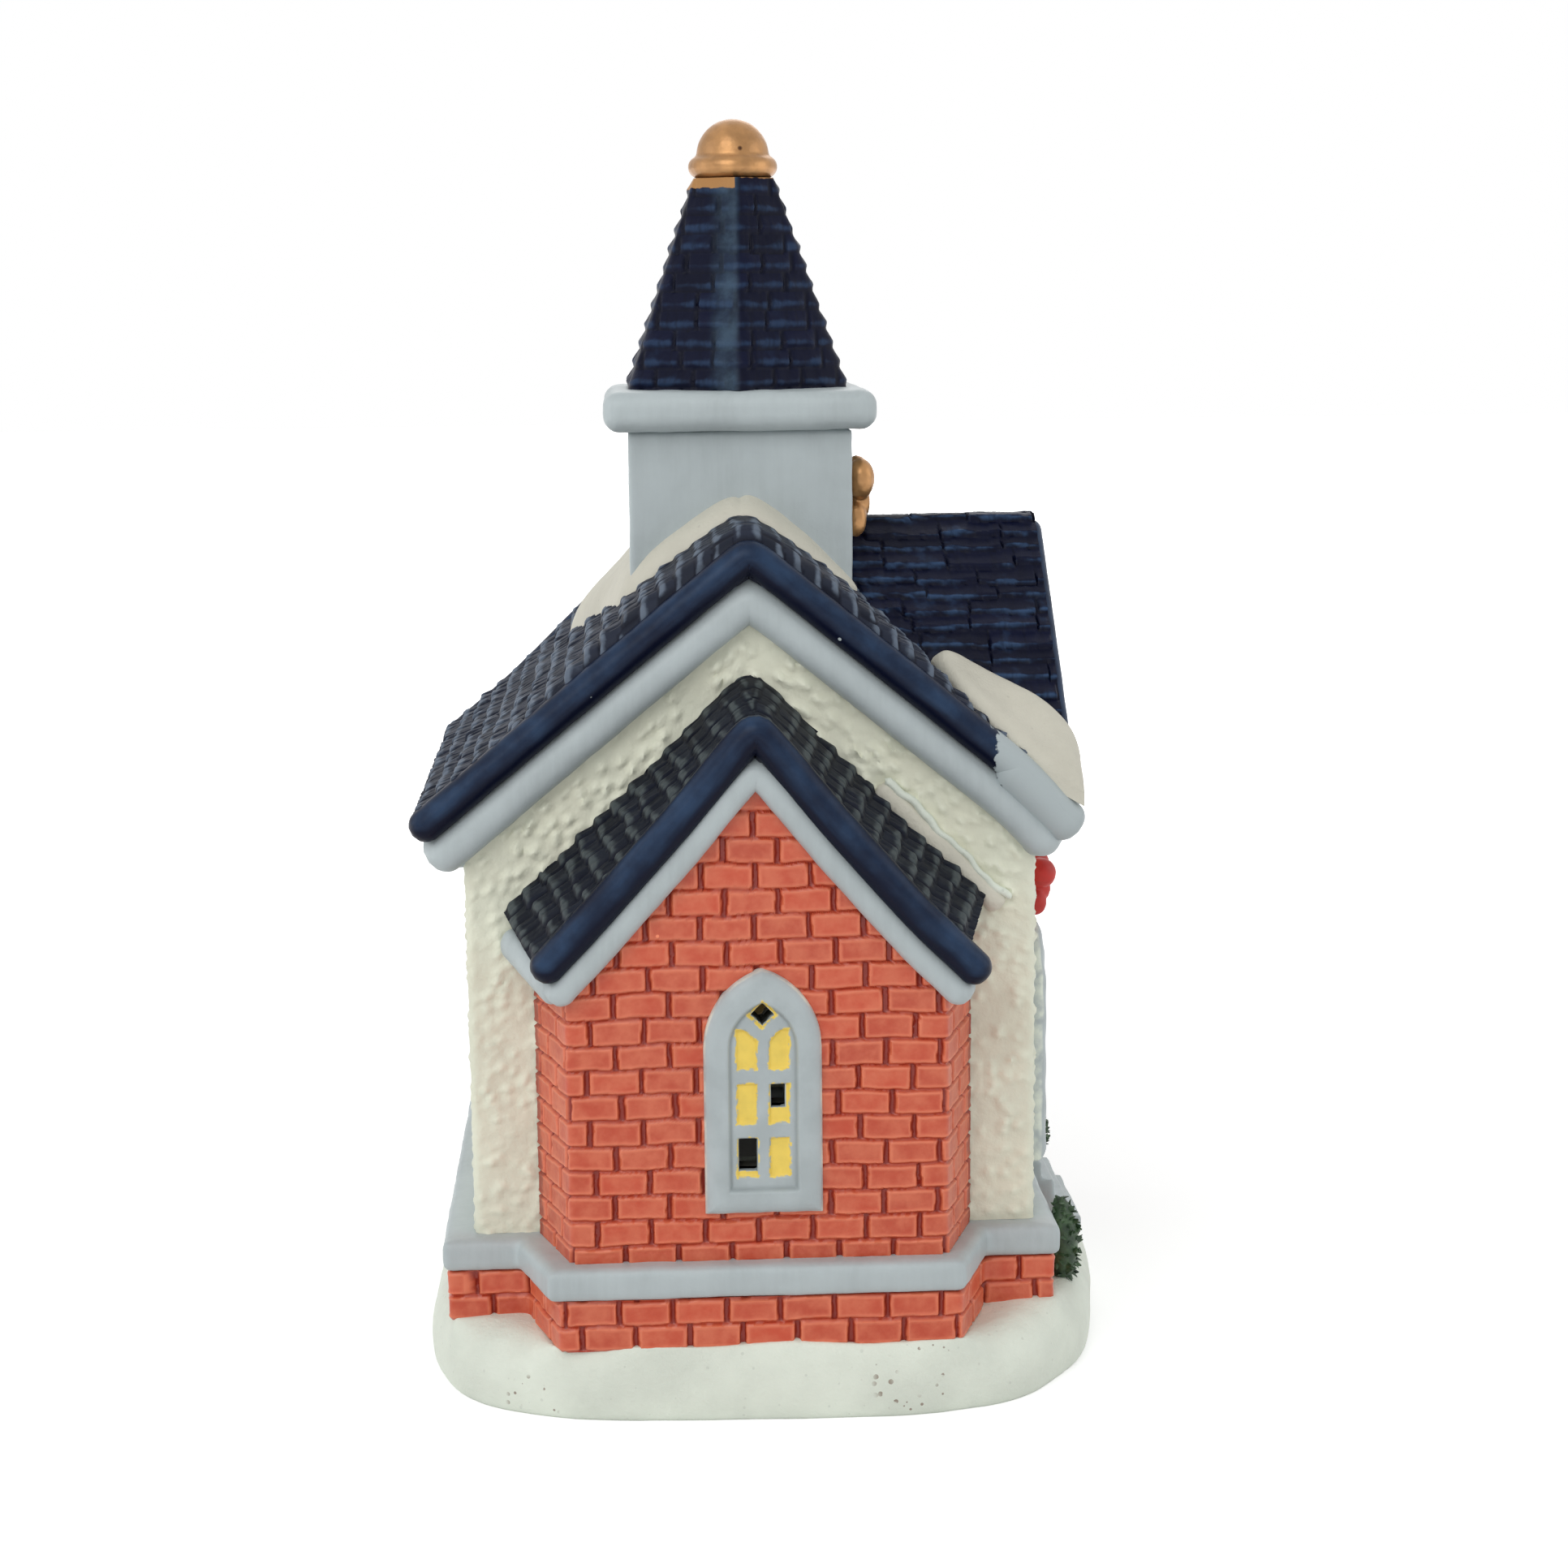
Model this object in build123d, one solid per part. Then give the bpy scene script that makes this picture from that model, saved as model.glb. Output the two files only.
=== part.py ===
from build123d import *
import os
from math import atan2, cos, hypot, radians, sin, sqrt, tan

# Ceramic Christmas village house: a little slip-cast church that is lit by a clip-in lamp.
# Millimetres, +Z up, origin at the middle of the snow base's underside.
# +X is the church front with the steps, -Y the flank with the brick bay,
# +Y the far flank with the lamp hole. House sizes are measured from the tower's axis.

# Clay body
clay = 4.0                   # wall of every hollow casting
house_x = -3.6               # tower axis from the middle of the base
house_y = 6.0

# Stucco walls
wall_length = 83.8           # along X
wall_width = 78.4            # along Y
wall_rise = 63.2             # from the sill band to the eaves

# Snow base
base_margin_x = 22.2         # snow beyond the walls, both ends together
base_margin_y = 11.2         # snow beyond the bay and the far wall, both together
base_height = 10.5
base_front_flat = 55.0       # straight edge before the brick bay
base_corner_cut = 21.0       # cut corners beside the bay
base_back_cut = 9.0
base_porch_width = 16.0      # where the base bows out furthest, under the steps
base_porch_bow = 6.0
base_corner_round = 14.0
base_top_round = 4.5

# Brick plinth and grey sill band
plinth_height = 7.6
plinth_proud = 2.5
band_height = 4.8
band_proud = 3.2
band_round = 1.3

# Main cross-gable roof
eave_overhang = 6.7          # past the end walls
verge_overhang = 3.8         # past the flank walls
roof_rise = 39.9             # from eaves to ridge
roof_slab = 4.2
roof_courses = 18
course_butt = 0.6            # thickness of a shingle's lower edge
board_depth = 5.2            # grey barge board, measured square to the rake
board_proud = 2.6

# Brick bay
bay_front_half = 27.1
bay_cant = 4.9               # how much wider each side is at the wall
bay_projection = 14.4
bay_wall_rise = 42.3         # from the sill band to the front eaves
bay_roof_rise = 36.3
bay_front_overhang = 4.9     # eaves past the brick, at the front and at the wall
bay_back_overhang = 4.4
bay_eave_lift = 3.5          # how much higher eaves and ridge are at the wall
bay_ridge_lift = 4.5
bay_lintel = 7.2             # between the front eaves and the opening into the room behind
bay_overhang = 1.4           # from the brick face to the end of the roof slab
bay_courses = 13
bay_board_depth = 4.2
bay_board_proud = 2.2

# Lancet windows
window_width = 16.8
window_lift = 7.2            # from the sill band to the foot of the frame
window_height = 35.7
window_rise = 11.4           # height of the pointed arch
window_proud = 1.5
frame_face = 3.4             # width of the raised frame
frame_crown = 4.6            # its depth at the tip of the arch
frame_step = 0.6             # how far the panel lies behind the frame
pane_rows = 3
pane_side = 0.85             # clay between the panes and the frame
mullion = 1.3
transom = 1.9
pane_depth = 0.4
pane_corner = 1.9            # cut off the top panes where they pass the diamond
pane_margin = 0.9            # clay left round a pierced pane's hole
diamond_half = 2.1
diamond_crown = 4.4          # clay above the diamond
front_window_y = 25.0

# Church door and steps
door_width = 14.0
door_height = 32.0
door_rise = 11.0
door_proud = 1.0
surround_face = 3.2
surround_crown = 4.2
surround_proud = 1.8
leaf_gap = 0.05
door_planks = 6
groove_width = 0.6
groove_depth = 0.25
meeting_depth = 0.5          # deeper seam where the two leaves meet
step_count = 4
steps_run = 10.3
steps_width = 22.0

# Trim on the church front
bow_knot_height = 0.6        # ribbon bow, as shares of its height, half width and depth
bow_tail_spread = 0.85
bow_loop_proud = 0.8
bow_tail_proud = 0.5
bow_tilt = 18.0              # degrees that the loops are turned up
red_bow_width = 12.0
red_bow_height = 9.6
red_bow_proud = 3.6
bow_above_window = 1.2
garland_width = 15.0
garland_height = 5.5
garland_proud = 3.0
bush_radius = 3.0
bush_height = 13.0
bush_foot = 0.72             # radius on the snow, as a share of the widest
bush_waist = 0.32            # height of the widest place, as a share
bush_shoulder = (0.6, 0.78)  # radius and height of the shoulder, as shares
bush_y = 29.0
bush_gap = 0.1               # between a bush and the sill band

# Tower, spire and finial
tower_width = 33.5
tower_sunk = 22.0            # below the ridge
tower_rise = 13.3            # above the ridge
cornice_overhang = 3.65
cornice_height = 6.0
cornice_round = 2.4
spire_inset = 0.15           # of the spire's eaves from the tower's faces
spire_top_half = 6.0
spire_height = 31.4
spire_courses = 11
spire_hollow = 22.6          # height of the room inside
spire_sides = 6
finial_ring_radius = 6.8
finial_ring_height = 3.4
finial_dome_radius = 5.5
finial_height = 8.9
gold_bow_width = 13.0
gold_bow_height = 11.6
gold_bow_proud = 3.6
gold_bow_y = -8.0
gold_bow_drop = 16.3         # from the tower's top to the bow's foot

# Snow that lies on the roof
snow_depth = 2.4
collar_x = -2.5              # the collar lies deeper on the rear slope
collar_reach_x = 8.25        # past the tower's faces
collar_reach_y = 13.25
drift_start = 0.57           # share of the valley from the tower to the corner
drift_shoulder = 0.3         # share of the drift over which it widens
drift_half_width = 6.8

# Clip-in lamp in the far flank
lamp_lift = 22.1             # from the sill band to the lamp's axis
lamp_hole_radius = 14.0
lamp_neck_room = 3.0         # between the hole and the holder's neck, where the springs run
lamp_neck_length = 21.0
lamp_flange_lip = 2.6
lamp_flange_thick = 2.2
lamp_boss_radius = 8.0
lamp_boss_end = 6.4          # radius at its outer end
lamp_boss_length = 4.2
gland_radius = 2.6
gland_length = 8.0
socket_radius = 6.0
socket_depth = 16.0
cap_clearance = 0.08
cap_foot_gap = 0.3
cap_contact = 2.4            # radius of the foot contact
cap_shoulder = 2.5           # length of the coned end behind it
cap_bore = 6.0               # depth of the cup that holds the glass
spring_thick = 0.6
spring_width = 7.0
spring_bulge = 2.2           # how far the springs stand out past the hole
spring_clearance = 0.3
bulb_radius = 9.5
bulb_length = 38.0
bulb_belly = 0.42            # share of the length from the cap to the widest place
bulb_neck = 4.6
bulb_wall = 0.6
stem_radius = 1.6
stem_length = 14.0
wire_radius = 0.35
wire_length = 5.0
filament_half = 3.2
filament_radius = 0.5

# Derived sizes
wall_x = wall_length / 2
wall_y = wall_width / 2
bay_y = wall_y + bay_projection
bay_slab_y = bay_y + bay_overhang
base_length = wall_length + base_margin_x
base_width = wall_width + bay_projection + base_margin_y
plinth_top = base_height + plinth_height
band_top = plinth_top + band_height
eave_height = band_top + wall_rise
ridge_height = eave_height + roof_rise
roof_half_x = wall_x + eave_overhang      # eaves of the long ridge, and verge of the front gable
roof_half_y = wall_y + verge_overhang     # verges of the long ridge, and eaves of the front gable
bay_wall_half = bay_front_half + bay_cant
bay_front_eave_half = bay_front_half + bay_front_overhang
bay_back_eave_half = bay_wall_half + bay_back_overhang
bay_front_eave = band_top + bay_wall_rise
bay_back_eave = bay_front_eave + bay_eave_lift
bay_front_ridge = bay_front_eave + bay_roof_rise
bay_back_ridge = bay_front_ridge + bay_ridge_lift
bay_room_top = bay_front_eave - bay_lintel
window_sill = band_top + window_lift
window_spring = window_height - window_rise
diamond_middle = window_height - diamond_crown - diamond_half
pane_pitch = (diamond_middle - diamond_half - frame_face) / pane_rows
pane_height = pane_pitch - transom
pane_width = (window_width - 2 * frame_face - mullion) / 2 - pane_side
door_spring = door_height - door_rise
tower_foot = ridge_height - tower_sunk
tower_top = ridge_height + tower_rise
cornice_width = tower_width + 2 * cornice_overhang
spire_half = tower_width / 2 - spire_inset
gold_bow_foot = tower_top - gold_bow_drop
lamp_height = band_top + lamp_lift
roll = roof_slab / 2
slab_end_x = roof_half_x - roll
slab_end_y = roof_half_y - roll
inner_x = wall_x - clay
inner_y = wall_y - clay
spire_foot = tower_top + cornice_height
spire_top = spire_foot + spire_height
lamp_neck = lamp_hole_radius - lamp_neck_room
far = base_length + base_width     # longer than any piece, for open-ended cuts


def along_x(outline, start, end):
    """Solid of a (y, z) outline run along X."""
    face = Face(Wire.make_polygon([(start, y, z) for y, z in outline]))
    return extrude(face, end - start, dir=(1, 0, 0))


def along_y(outline, start, end):
    """Solid of an (x, z) outline run along Y."""
    face = Face(Wire.make_polygon([(x, start, z) for x, z in outline]))
    return extrude(face, end - start, dir=(0, 1, 0))


def slab(sketch, bottom, top):
    """Plan sketch raised from one height to another."""
    return Pos(0, 0, bottom) * extrude(sketch, top - bottom)


def room(x_low, x_high, y_low, y_high, z_low, z_high):
    """Block between two corners."""
    middle = Pos((x_low + x_high) / 2, (y_low + y_high) / 2, (z_low + z_high) / 2)
    return middle * Box(x_high - x_low, y_high - y_low, z_high - z_low)


def largest(shape):
    """Main solid of a cut that may leave crumbs."""
    return max(shape.solids(), key=lambda solid: solid.volume)


def wall_plane(side, distance):
    """Plane on an upright face, local X along the wall and local Y up."""
    along = {"-Y": (1, 0, 0), "+X": (0, 1, 0), "+Y": (-1, 0, 0), "-X": (0, -1, 0)}[side]
    out = {"-Y": (0, -1, 0), "+X": (1, 0, 0), "+Y": (0, 1, 0), "-X": (-1, 0, 0)}[side]
    return Plane(Vector(out) * distance, x_dir=along, z_dir=out)


# Plans


def house_plan():
    """Outside of the walls with the canted bay."""
    return make_face(Polyline(
        (-wall_x, -wall_y), (-bay_wall_half, -wall_y), (-bay_front_half, -bay_y), (bay_front_half, -bay_y),
        (bay_wall_half, -wall_y), (wall_x, -wall_y), (wall_x, wall_y), (-wall_x, wall_y), close=True))


def grown_plan(amount):
    """House plan with every wall moved out, or in where the amount is below zero."""
    return offset(house_plan(), amount, kind=Kind.INTERSECTION)


def base_plan():
    """Snow base outline: cut corners beside the bay, bowed out under the steps."""
    x_end = base_length / 2
    y_end = base_width / 2
    flat_half = base_front_flat / 2
    porch_half = base_porch_width / 2
    x_side = x_end - base_porch_bow
    outline = make_face(Polyline(
        (-x_end, base_corner_cut - y_end), (house_x - flat_half, -y_end), (house_x + flat_half, -y_end),
        (x_side, base_corner_cut - y_end), (x_end, house_y - porch_half), (x_end, house_y + porch_half),
        (x_side, y_end - base_back_cut), (x_side - base_back_cut, y_end), (base_back_cut - x_end, y_end),
        (-x_end, y_end - base_back_cut), close=True))
    return fillet(outline.vertices(), base_corner_round)


# Roof forms


def slope_line(half_width, eave, ridge, courses):
    """Shingled slope from eave to ridge, as (across, up) points with one step a course."""
    slope = atan2(ridge - eave, half_width)
    points = []
    for course in range(courses):
        start = course / courses
        end = (course + 1) / courses
        points.append((half_width * (1 - start), eave + (ridge - eave) * start))
        if course < courses - 1:
            points.append((half_width * (1 - end) - course_butt * sin(slope),
                           eave + (ridge - eave) * end - course_butt * cos(slope)))
    return points


def gable_outline(half_width, eave, ridge, courses):
    """Closed outline of a shingled gable roof, down to the slab's lower corners."""
    slope = atan2(ridge - eave, half_width)
    line = slope_line(half_width, eave, ridge, courses)
    foot = (half_width - roof_slab * sin(slope), eave - roof_slab * cos(slope))
    right = [foot] + line
    return right + [(0, ridge)] + [(-x, z) for x, z in reversed(right)]


def under_outline(half_width, eave, ridge, drop):
    """Gable outline that lies the given distance under a roof's top, square to it, down to the ground."""
    slope = atan2(ridge - eave, half_width)
    apex = ridge - drop / cos(slope)
    reach = half_width + clay
    low = apex - reach * tan(slope)
    return [(0, apex), (reach, low), (reach, 0), (-reach, 0), (-reach, low)]


def under_main_roof():
    """Everything under the main roof's slab."""
    long_part = along_y(under_outline(roof_half_x, eave_height, ridge_height, roof_slab), -far, far)
    front_part = along_x(under_outline(roof_half_y, eave_height, ridge_height, roof_slab), 0, far)
    return long_part + front_part


def main_roof_body():
    """Main roof as a full block, its shingle courses stepped on the outside."""
    long_part = along_y(
        gable_outline(roof_half_x, eave_height, ridge_height, roof_courses), -slab_end_y, slab_end_y)
    front_part = along_x(
        gable_outline(roof_half_y, eave_height, ridge_height, roof_courses), 0, slab_end_x)
    inside = room(-roof_half_x, slab_end_x, -slab_end_y, slab_end_y, 0, ridge_height)
    return (long_part + front_part) & inside


def bay_section(share):
    """Bay roof sizes at a share of the way from its front end to the wall."""
    return [front + (back - front) * share for front, back in (
        (bay_front_eave_half, bay_back_eave_half), (bay_front_eave, bay_back_eave),
        (bay_front_ridge, bay_back_ridge))]


def between_sections(front, front_y, back, back_y):
    """Ruled loft between two (x, z) outlines with as many points."""
    faces = [Face(Wire.make_polygon([(x, y, z) for x, z in outline]))
             for outline, y in ((front, front_y), (back, back_y))]
    return loft(faces, ruled=True)


def under_bay_roof():
    """Everything under the bay roof's slab, run on past its front end."""
    run = bay_slab_y - wall_y
    ahead = roof_slab
    front, back = [under_outline(*bay_section(share), roof_slab) for share in (-ahead / run, 1)]
    return between_sections(front, -bay_slab_y - ahead, back, -wall_y)


def rake_roll(side, half_width, eave, ridge, radius, end_plane):
    """Half-round nosing on both rakes of a gable, on the outer face of the slab."""
    slope = atan2(ridge - eave, half_width)
    face = wall_plane(side, end_plane)
    length = hypot(half_width, ridge - eave)
    nosing = []
    for hand in (1, -1):
        low = Vector(hand * (half_width - radius * sin(slope)), eave - radius * cos(slope))
        up = Vector(-hand * cos(slope), sin(slope))
        rod = Plane(low, x_dir=(0, 0, 1), z_dir=up) * extrude(Circle(radius), length + radius)
        rod &= room(*sorted((0, hand * (half_width + radius))), 0, far, 0, radius)
        ball = Pos(*low) * Sphere(radius) & room(-far, far, 0, far, 0, radius)
        nosing.append(rod + ball)
    return face * (nosing[0] + nosing[1])


# Walls and ground


def snow_base():
    outline = base_plan()
    block = extrude(outline, base_height)
    block = fillet(block.edges().group_by(Axis.Z)[-1], base_top_round)
    hollow = slab(offset(outline, -clay), 0, base_height - clay)
    chamber = Pos(house_x, house_y) * slab(grown_plan(-clay), 0, base_height)
    return Pos(-house_x, -house_y) * (block - hollow - chamber)


def plinth():
    return slab(grown_plan(plinth_proud) - grown_plan(-clay), base_height, plinth_top)


def sill_band():
    block = slab(grown_plan(band_proud), plinth_top, band_top)
    rims = block.edges().group_by(Axis.Z)
    block = fillet(rims[-1] + rims[0], band_round)
    return block - slab(grown_plan(-clay), plinth_top, band_top)


def wall_shell():
    ring = Rectangle(wall_length, wall_width) - Rectangle(2 * inner_x, 2 * inner_y)
    walls = slab(ring, band_top, ridge_height) & under_main_roof()
    bay_room_half = bay_front_half - clay
    walls -= room(-bay_room_half, bay_room_half, -wall_y, -inner_y, band_top, bay_room_top)
    for wall in front_window_walls() + [back_window_wall()]:
        walls -= wall * window_holes(clay)
    return walls - lamp_axis() * extrude(Circle(lamp_hole_radius), clay)


def bay_wall():
    ring = grown_plan(0) - grown_plan(-clay)
    ahead = Pos(0, -(wall_y + bay_y) / 2) * Rectangle(2 * bay_wall_half, bay_projection)
    walls = slab(ring & ahead, band_top, bay_back_ridge) & under_bay_roof()
    return walls - bay_window_wall() * window_holes(clay)


# Roofs


def main_roof():
    tower_hole = room(-tower_width / 2, tower_width / 2, -tower_width / 2, tower_width / 2, 0, far)
    return main_roof_body() - under_main_roof() - tower_hole


def verge_rolls():
    rolls = rake_roll("-Y", roof_half_x, eave_height, ridge_height, roll, slab_end_y)
    rolls += rake_roll("+X", roof_half_y, eave_height, ridge_height, roll, slab_end_x)
    return rolls + rake_roll("+Y", roof_half_x, eave_height, ridge_height, roll, slab_end_y)


def chevron(half_width, eave, ridge, top_drop, depth):
    """Gable board outline: a band of even depth under both rakes, its ends square to them."""
    slope = atan2(ridge - eave, half_width)
    outer = (half_width - top_drop * sin(slope), eave - top_drop * cos(slope))
    inner = (outer[0] - depth * sin(slope), outer[1] - depth * cos(slope))
    top = ridge - top_drop / cos(slope)
    bottom = top - depth / cos(slope)
    return [(0, top), outer, inner, (0, bottom), (-inner[0], inner[1]), (-outer[0], outer[1])]


def barge_boards():
    long_gable = chevron(roof_half_x, eave_height, ridge_height, roof_slab, board_depth)
    front_gable = chevron(roof_half_y, eave_height, ridge_height, roof_slab, board_depth)
    boards = along_y(long_gable, -wall_y - board_proud, -wall_y)
    boards += along_y(long_gable, wall_y, wall_y + board_proud)
    boards += along_x(front_gable, wall_x, wall_x + board_proud)
    eave_foot = long_gable[2][1]
    under = under_main_roof()
    eave = room(-wall_x - board_proud, -wall_x, -wall_y, wall_y, eave_foot, eave_height)
    return boards + (eave & under)


def bay_roof():
    front = gable_outline(*bay_section(0), bay_courses)
    back = gable_outline(*bay_section(1), bay_courses)
    return between_sections(front, -bay_slab_y, back, -wall_y) - under_bay_roof()


def bay_roof_roll():
    return rake_roll("-Y", *bay_section(0), roll, bay_slab_y)


def bay_barge_board():
    outline = chevron(*bay_section(0), 0, roof_slab + bay_board_depth)
    return along_y(outline, -bay_y - bay_board_proud, -bay_y) & under_bay_roof()


# Windows and door


def lancet(width, height, spring, foot=0.0):
    """Pointed-arch face standing on the local X axis."""
    half = width / 2
    rise = height - spring
    radius = (half ** 2 + rise ** 2) / (2 * half)
    middle = atan2(rise, radius - half) / 2
    bow_x = half - radius + radius * cos(middle)
    bow_z = spring + radius * sin(middle)
    jambs = Polyline((-half, spring), (-half, foot), (half, foot), (half, spring))
    right = ThreePointArc((half, spring), (bow_x, bow_z), (0, height))
    left = ThreePointArc((0, height), (-bow_x, bow_z), (-half, spring))
    return make_face([jambs, right, left])


def pane_places():
    """Middle of each pane, by column and row, above the sill."""
    first = frame_face + transom + pane_height / 2
    return {(column, row): (column * (pane_width + mullion) / 2, first + row * pane_pitch)
            for column in (-1, 1) for row in range(pane_rows)}


def window_holes(depth):
    """Pierced panes: they run from the window's face back through the clay."""
    places = pane_places()
    hole = Rectangle(pane_width - pane_margin, pane_height - pane_margin)
    side = diamond_half * sqrt(2)
    holes = Pos(0, diamond_middle) * Rot(0, 0, 45) * Rectangle(side, side)
    for pierced in ((1, 1), (-1, 0)):
        holes += Pos(*places[pierced]) * hole
    return Pos(0, window_sill, -depth) * extrude(holes, depth + window_proud)


def window():
    """One lancet window casting on its wall plane."""
    panel = lancet(window_width - 2 * frame_face, window_height - frame_crown, window_spring, frame_face)
    plate = extrude(lancet(window_width, window_height, window_spring), window_proud)
    plate -= Pos(0, 0, window_proud - frame_step) * extrude(panel, frame_step)
    floor = window_proud - frame_step - pane_depth
    for (column, row), place in pane_places().items():
        pane = Rectangle(pane_width, pane_height)
        if row == pane_rows - 1:
            inner_top = Pos(-column * pane_width / 2, pane_height / 2)
            pane -= inner_top * Rot(0, 0, 45) * Rectangle(pane_corner * sqrt(2), pane_corner * sqrt(2))
        plate -= Pos(*place, floor) * extrude(pane, pane_depth)
    return Pos(0, window_sill) * plate - window_holes(0)


def bay_window_wall():
    return wall_plane("-Y", bay_y)


def back_window_wall():
    return wall_plane("-X", wall_x)


def front_window_walls():
    return [wall_plane("+X", wall_x) * Pos(hand * front_window_y) for hand in (-1, 1)]


def door_surround():
    outer = lancet(door_width + 2 * surround_face, door_height + surround_crown, door_spring)
    frame = extrude(outer - lancet(door_width, door_height, door_spring), surround_proud)
    return wall_plane("+X", wall_x) * Pos(0, band_top) * frame


def church_door():
    leaf = extrude(lancet(door_width - 2 * leaf_gap, door_height - leaf_gap, door_spring), door_proud)
    for seam in range(1, door_planks):
        across = (seam / door_planks - 0.5) * door_width
        depth = meeting_depth if 2 * seam == door_planks else groove_depth
        groove = Box(groove_width, 2 * door_height, 2 * depth)
        leaf -= Pos(across, door_height / 2, door_proud) * groove
    return wall_plane("+X", wall_x) * Pos(0, band_top) * leaf


def front_steps():
    start = wall_x + band_proud
    rise = (band_top - base_height) / step_count
    tread = steps_run / step_count
    outline = [(start, base_height)]
    for step in range(step_count):
        edge = start + steps_run - step * tread
        outline += [(edge, base_height + step * rise), (edge, base_height + (step + 1) * rise)]
    outline.append((start, band_top))
    return along_y(outline, -steps_width / 2, steps_width / 2)


# Trim


def bow(width, height, proud):
    """Ribbon bow on a wall: two loops, two tails and a knot, its foot on the local X axis."""
    half = width / 2
    knot = height * bow_knot_height
    loop_high = (height - knot) / 2
    ribbons = extrude(Circle(loop_high), proud)
    for hand in (1, -1):
        loop = Rot(0, 0, hand * bow_tilt) * Pos(hand * half / 2) * Ellipse(half / 2, loop_high)
        tail_end = hand * half * bow_tail_spread
        tail = make_face(Polyline(
            (0, 0), (hand * half / 2, -knot), (tail_end, loop_high - knot), (0, loop_high), close=True))
        ribbons += extrude(loop, proud * bow_loop_proud)
        ribbons += extrude(tail, proud * bow_tail_proud)
    return Pos(0, knot) * ribbons


def red_bows():
    foot = window_sill + window_height + bow_above_window
    return [wall * Pos(0, foot) * bow(red_bow_width, red_bow_height, red_bow_proud)
            for wall in front_window_walls()]


def garlands():
    """Greenery laid along the foot of each front window."""
    swag = scale(Sphere(1), by=(garland_width / 2, garland_height / 2, garland_proud))
    swag &= room(-garland_width, garland_width, -garland_height, garland_height, 0, garland_proud)
    return [wall * Pos(0, window_sill + garland_height / 2, window_proud) * swag
            for wall in front_window_walls()]


def bushes():
    """Clipped bushes on the snow each side of the steps."""
    foot = (bush_radius * bush_foot, 0)
    shoulder = (bush_radius * bush_shoulder[0], bush_height * bush_shoulder[1])
    profile = make_face([
        Spline((0, bush_height), shoulder, (bush_radius, bush_height * bush_waist), foot),
        Polyline(foot, (0, 0), (0, bush_height))])
    bush = revolve(Plane.XZ * profile, Axis.Z)
    out = wall_x + band_proud + bush_radius + bush_gap
    return [Pos(out, hand * bush_y, base_height) * bush for hand in (-1, 1)]


# Tower


def tower():
    shaft = Rectangle(tower_width, tower_width) - Rectangle(tower_width - 2 * clay, tower_width - 2 * clay)
    return slab(shaft, tower_foot, tower_top)


def tower_cornice():
    block = slab(Rectangle(cornice_width, cornice_width), tower_top, spire_foot)
    block = fillet(block.edges(), cornice_round)
    return block - slab(Circle(spire_half - clay), tower_top, spire_foot)


def spire_section(half, height):
    across_corners = half / cos(radians(180 / spire_sides))
    turned = Rot(0, 0, 90) * RegularPolygon(across_corners, spire_sides)
    return Pos(0, 0, height) * turned


def spire():
    taper = (spire_half - spire_top_half) / spire_height
    rise = spire_height / spire_courses
    body = None
    for course in range(spire_courses):
        low = course * rise
        half_low = spire_half - taper * low
        half_high = spire_half - taper * (low + rise) - course_butt
        foot = spire_foot + low
        ring = loft([spire_section(half_low, foot), spire_section(half_high, foot + rise)], ruled=True)
        body = ring if body is None else body + ring
    inner_foot = spire_half - clay
    inner_top = spire_half - taper * spire_hollow - clay
    hollow_top = spire_foot + spire_hollow
    hollow = loft([spire_section(inner_foot, spire_foot), spire_section(inner_top, hollow_top)], ruled=True)
    return body - hollow


def finial():
    """Gilt ring with a low dome on it."""
    round_off = finial_ring_height / 2
    ring_middle = spire_top + round_off
    dome_foot = spire_top + finial_ring_height
    dome_rise = finial_height - finial_ring_height
    ring = slab(Circle(finial_ring_radius - round_off), spire_top, dome_foot)
    ring += Pos(0, 0, ring_middle) * Torus(finial_ring_radius - round_off, round_off)
    ball = (finial_dome_radius ** 2 + dome_rise ** 2) / (2 * dome_rise)
    dome = Pos(0, 0, spire_top + finial_height - ball) * Sphere(ball)
    dome &= slab(Circle(finial_dome_radius), dome_foot, far)
    return ring + dome


def gold_bow():
    face = wall_plane("+X", tower_width / 2) * Pos(gold_bow_y, gold_bow_foot)
    return face * bow(gold_bow_width, gold_bow_height, gold_bow_proud)


# Snow on the roof


def raised_roof(depth):
    """Main roof's outside lifted by a depth of snow, without its courses."""
    lift = depth / cos(atan2(ridge_height - eave_height, roof_half_x))
    long_part = along_y(
        under_outline(roof_half_x, eave_height + lift, ridge_height + lift, 0), -roof_half_y, roof_half_y)
    front_part = along_x(
        under_outline(roof_half_y, eave_height + lift, ridge_height + lift, 0), 0, roof_half_x)
    return long_part + front_part


def tower_snow():
    """Snow round three sides of the tower's foot: the front roof's ridge is bare."""
    half = tower_width / 2
    outline = Pos(collar_x) * Ellipse(half + collar_reach_x, half + collar_reach_y)
    collar = slab(outline - Rectangle(tower_width, tower_width), eave_height, far)
    collar -= room(half, far, -half, far, eave_height, far)
    return largest((collar & raised_roof(snow_depth)) - main_roof_body() - gold_bow())


def corner_drift():
    corner = Vector(roof_half_x, -roof_half_y)
    start = corner * drift_start
    side = Vector(roof_half_y, roof_half_x).normalized() * drift_half_width
    shoulder = start + (corner - start) * drift_shoulder
    outline = make_face(Polyline(
        start, shoulder + side, corner + side, corner, corner - side, shoulder - side, close=True))
    drift = slab(outline, eave_height - roof_slab, ridge_height) & raised_roof(snow_depth)
    drift &= room(0, roof_half_x, -roof_half_y, 0, 0, far)
    drift -= room(0, slab_end_x, -slab_end_y, 0, 0, far) & main_roof_body()
    return drift - under_main_roof() - verge_rolls()


# Lamp


def lamp_axis():
    """Plane on the far flank's outer face, its Z axis along the lamp into the room."""
    return Plane((0, wall_y, lamp_height), x_dir=(1, 0, 0), z_dir=(0, -1, 0))


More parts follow.
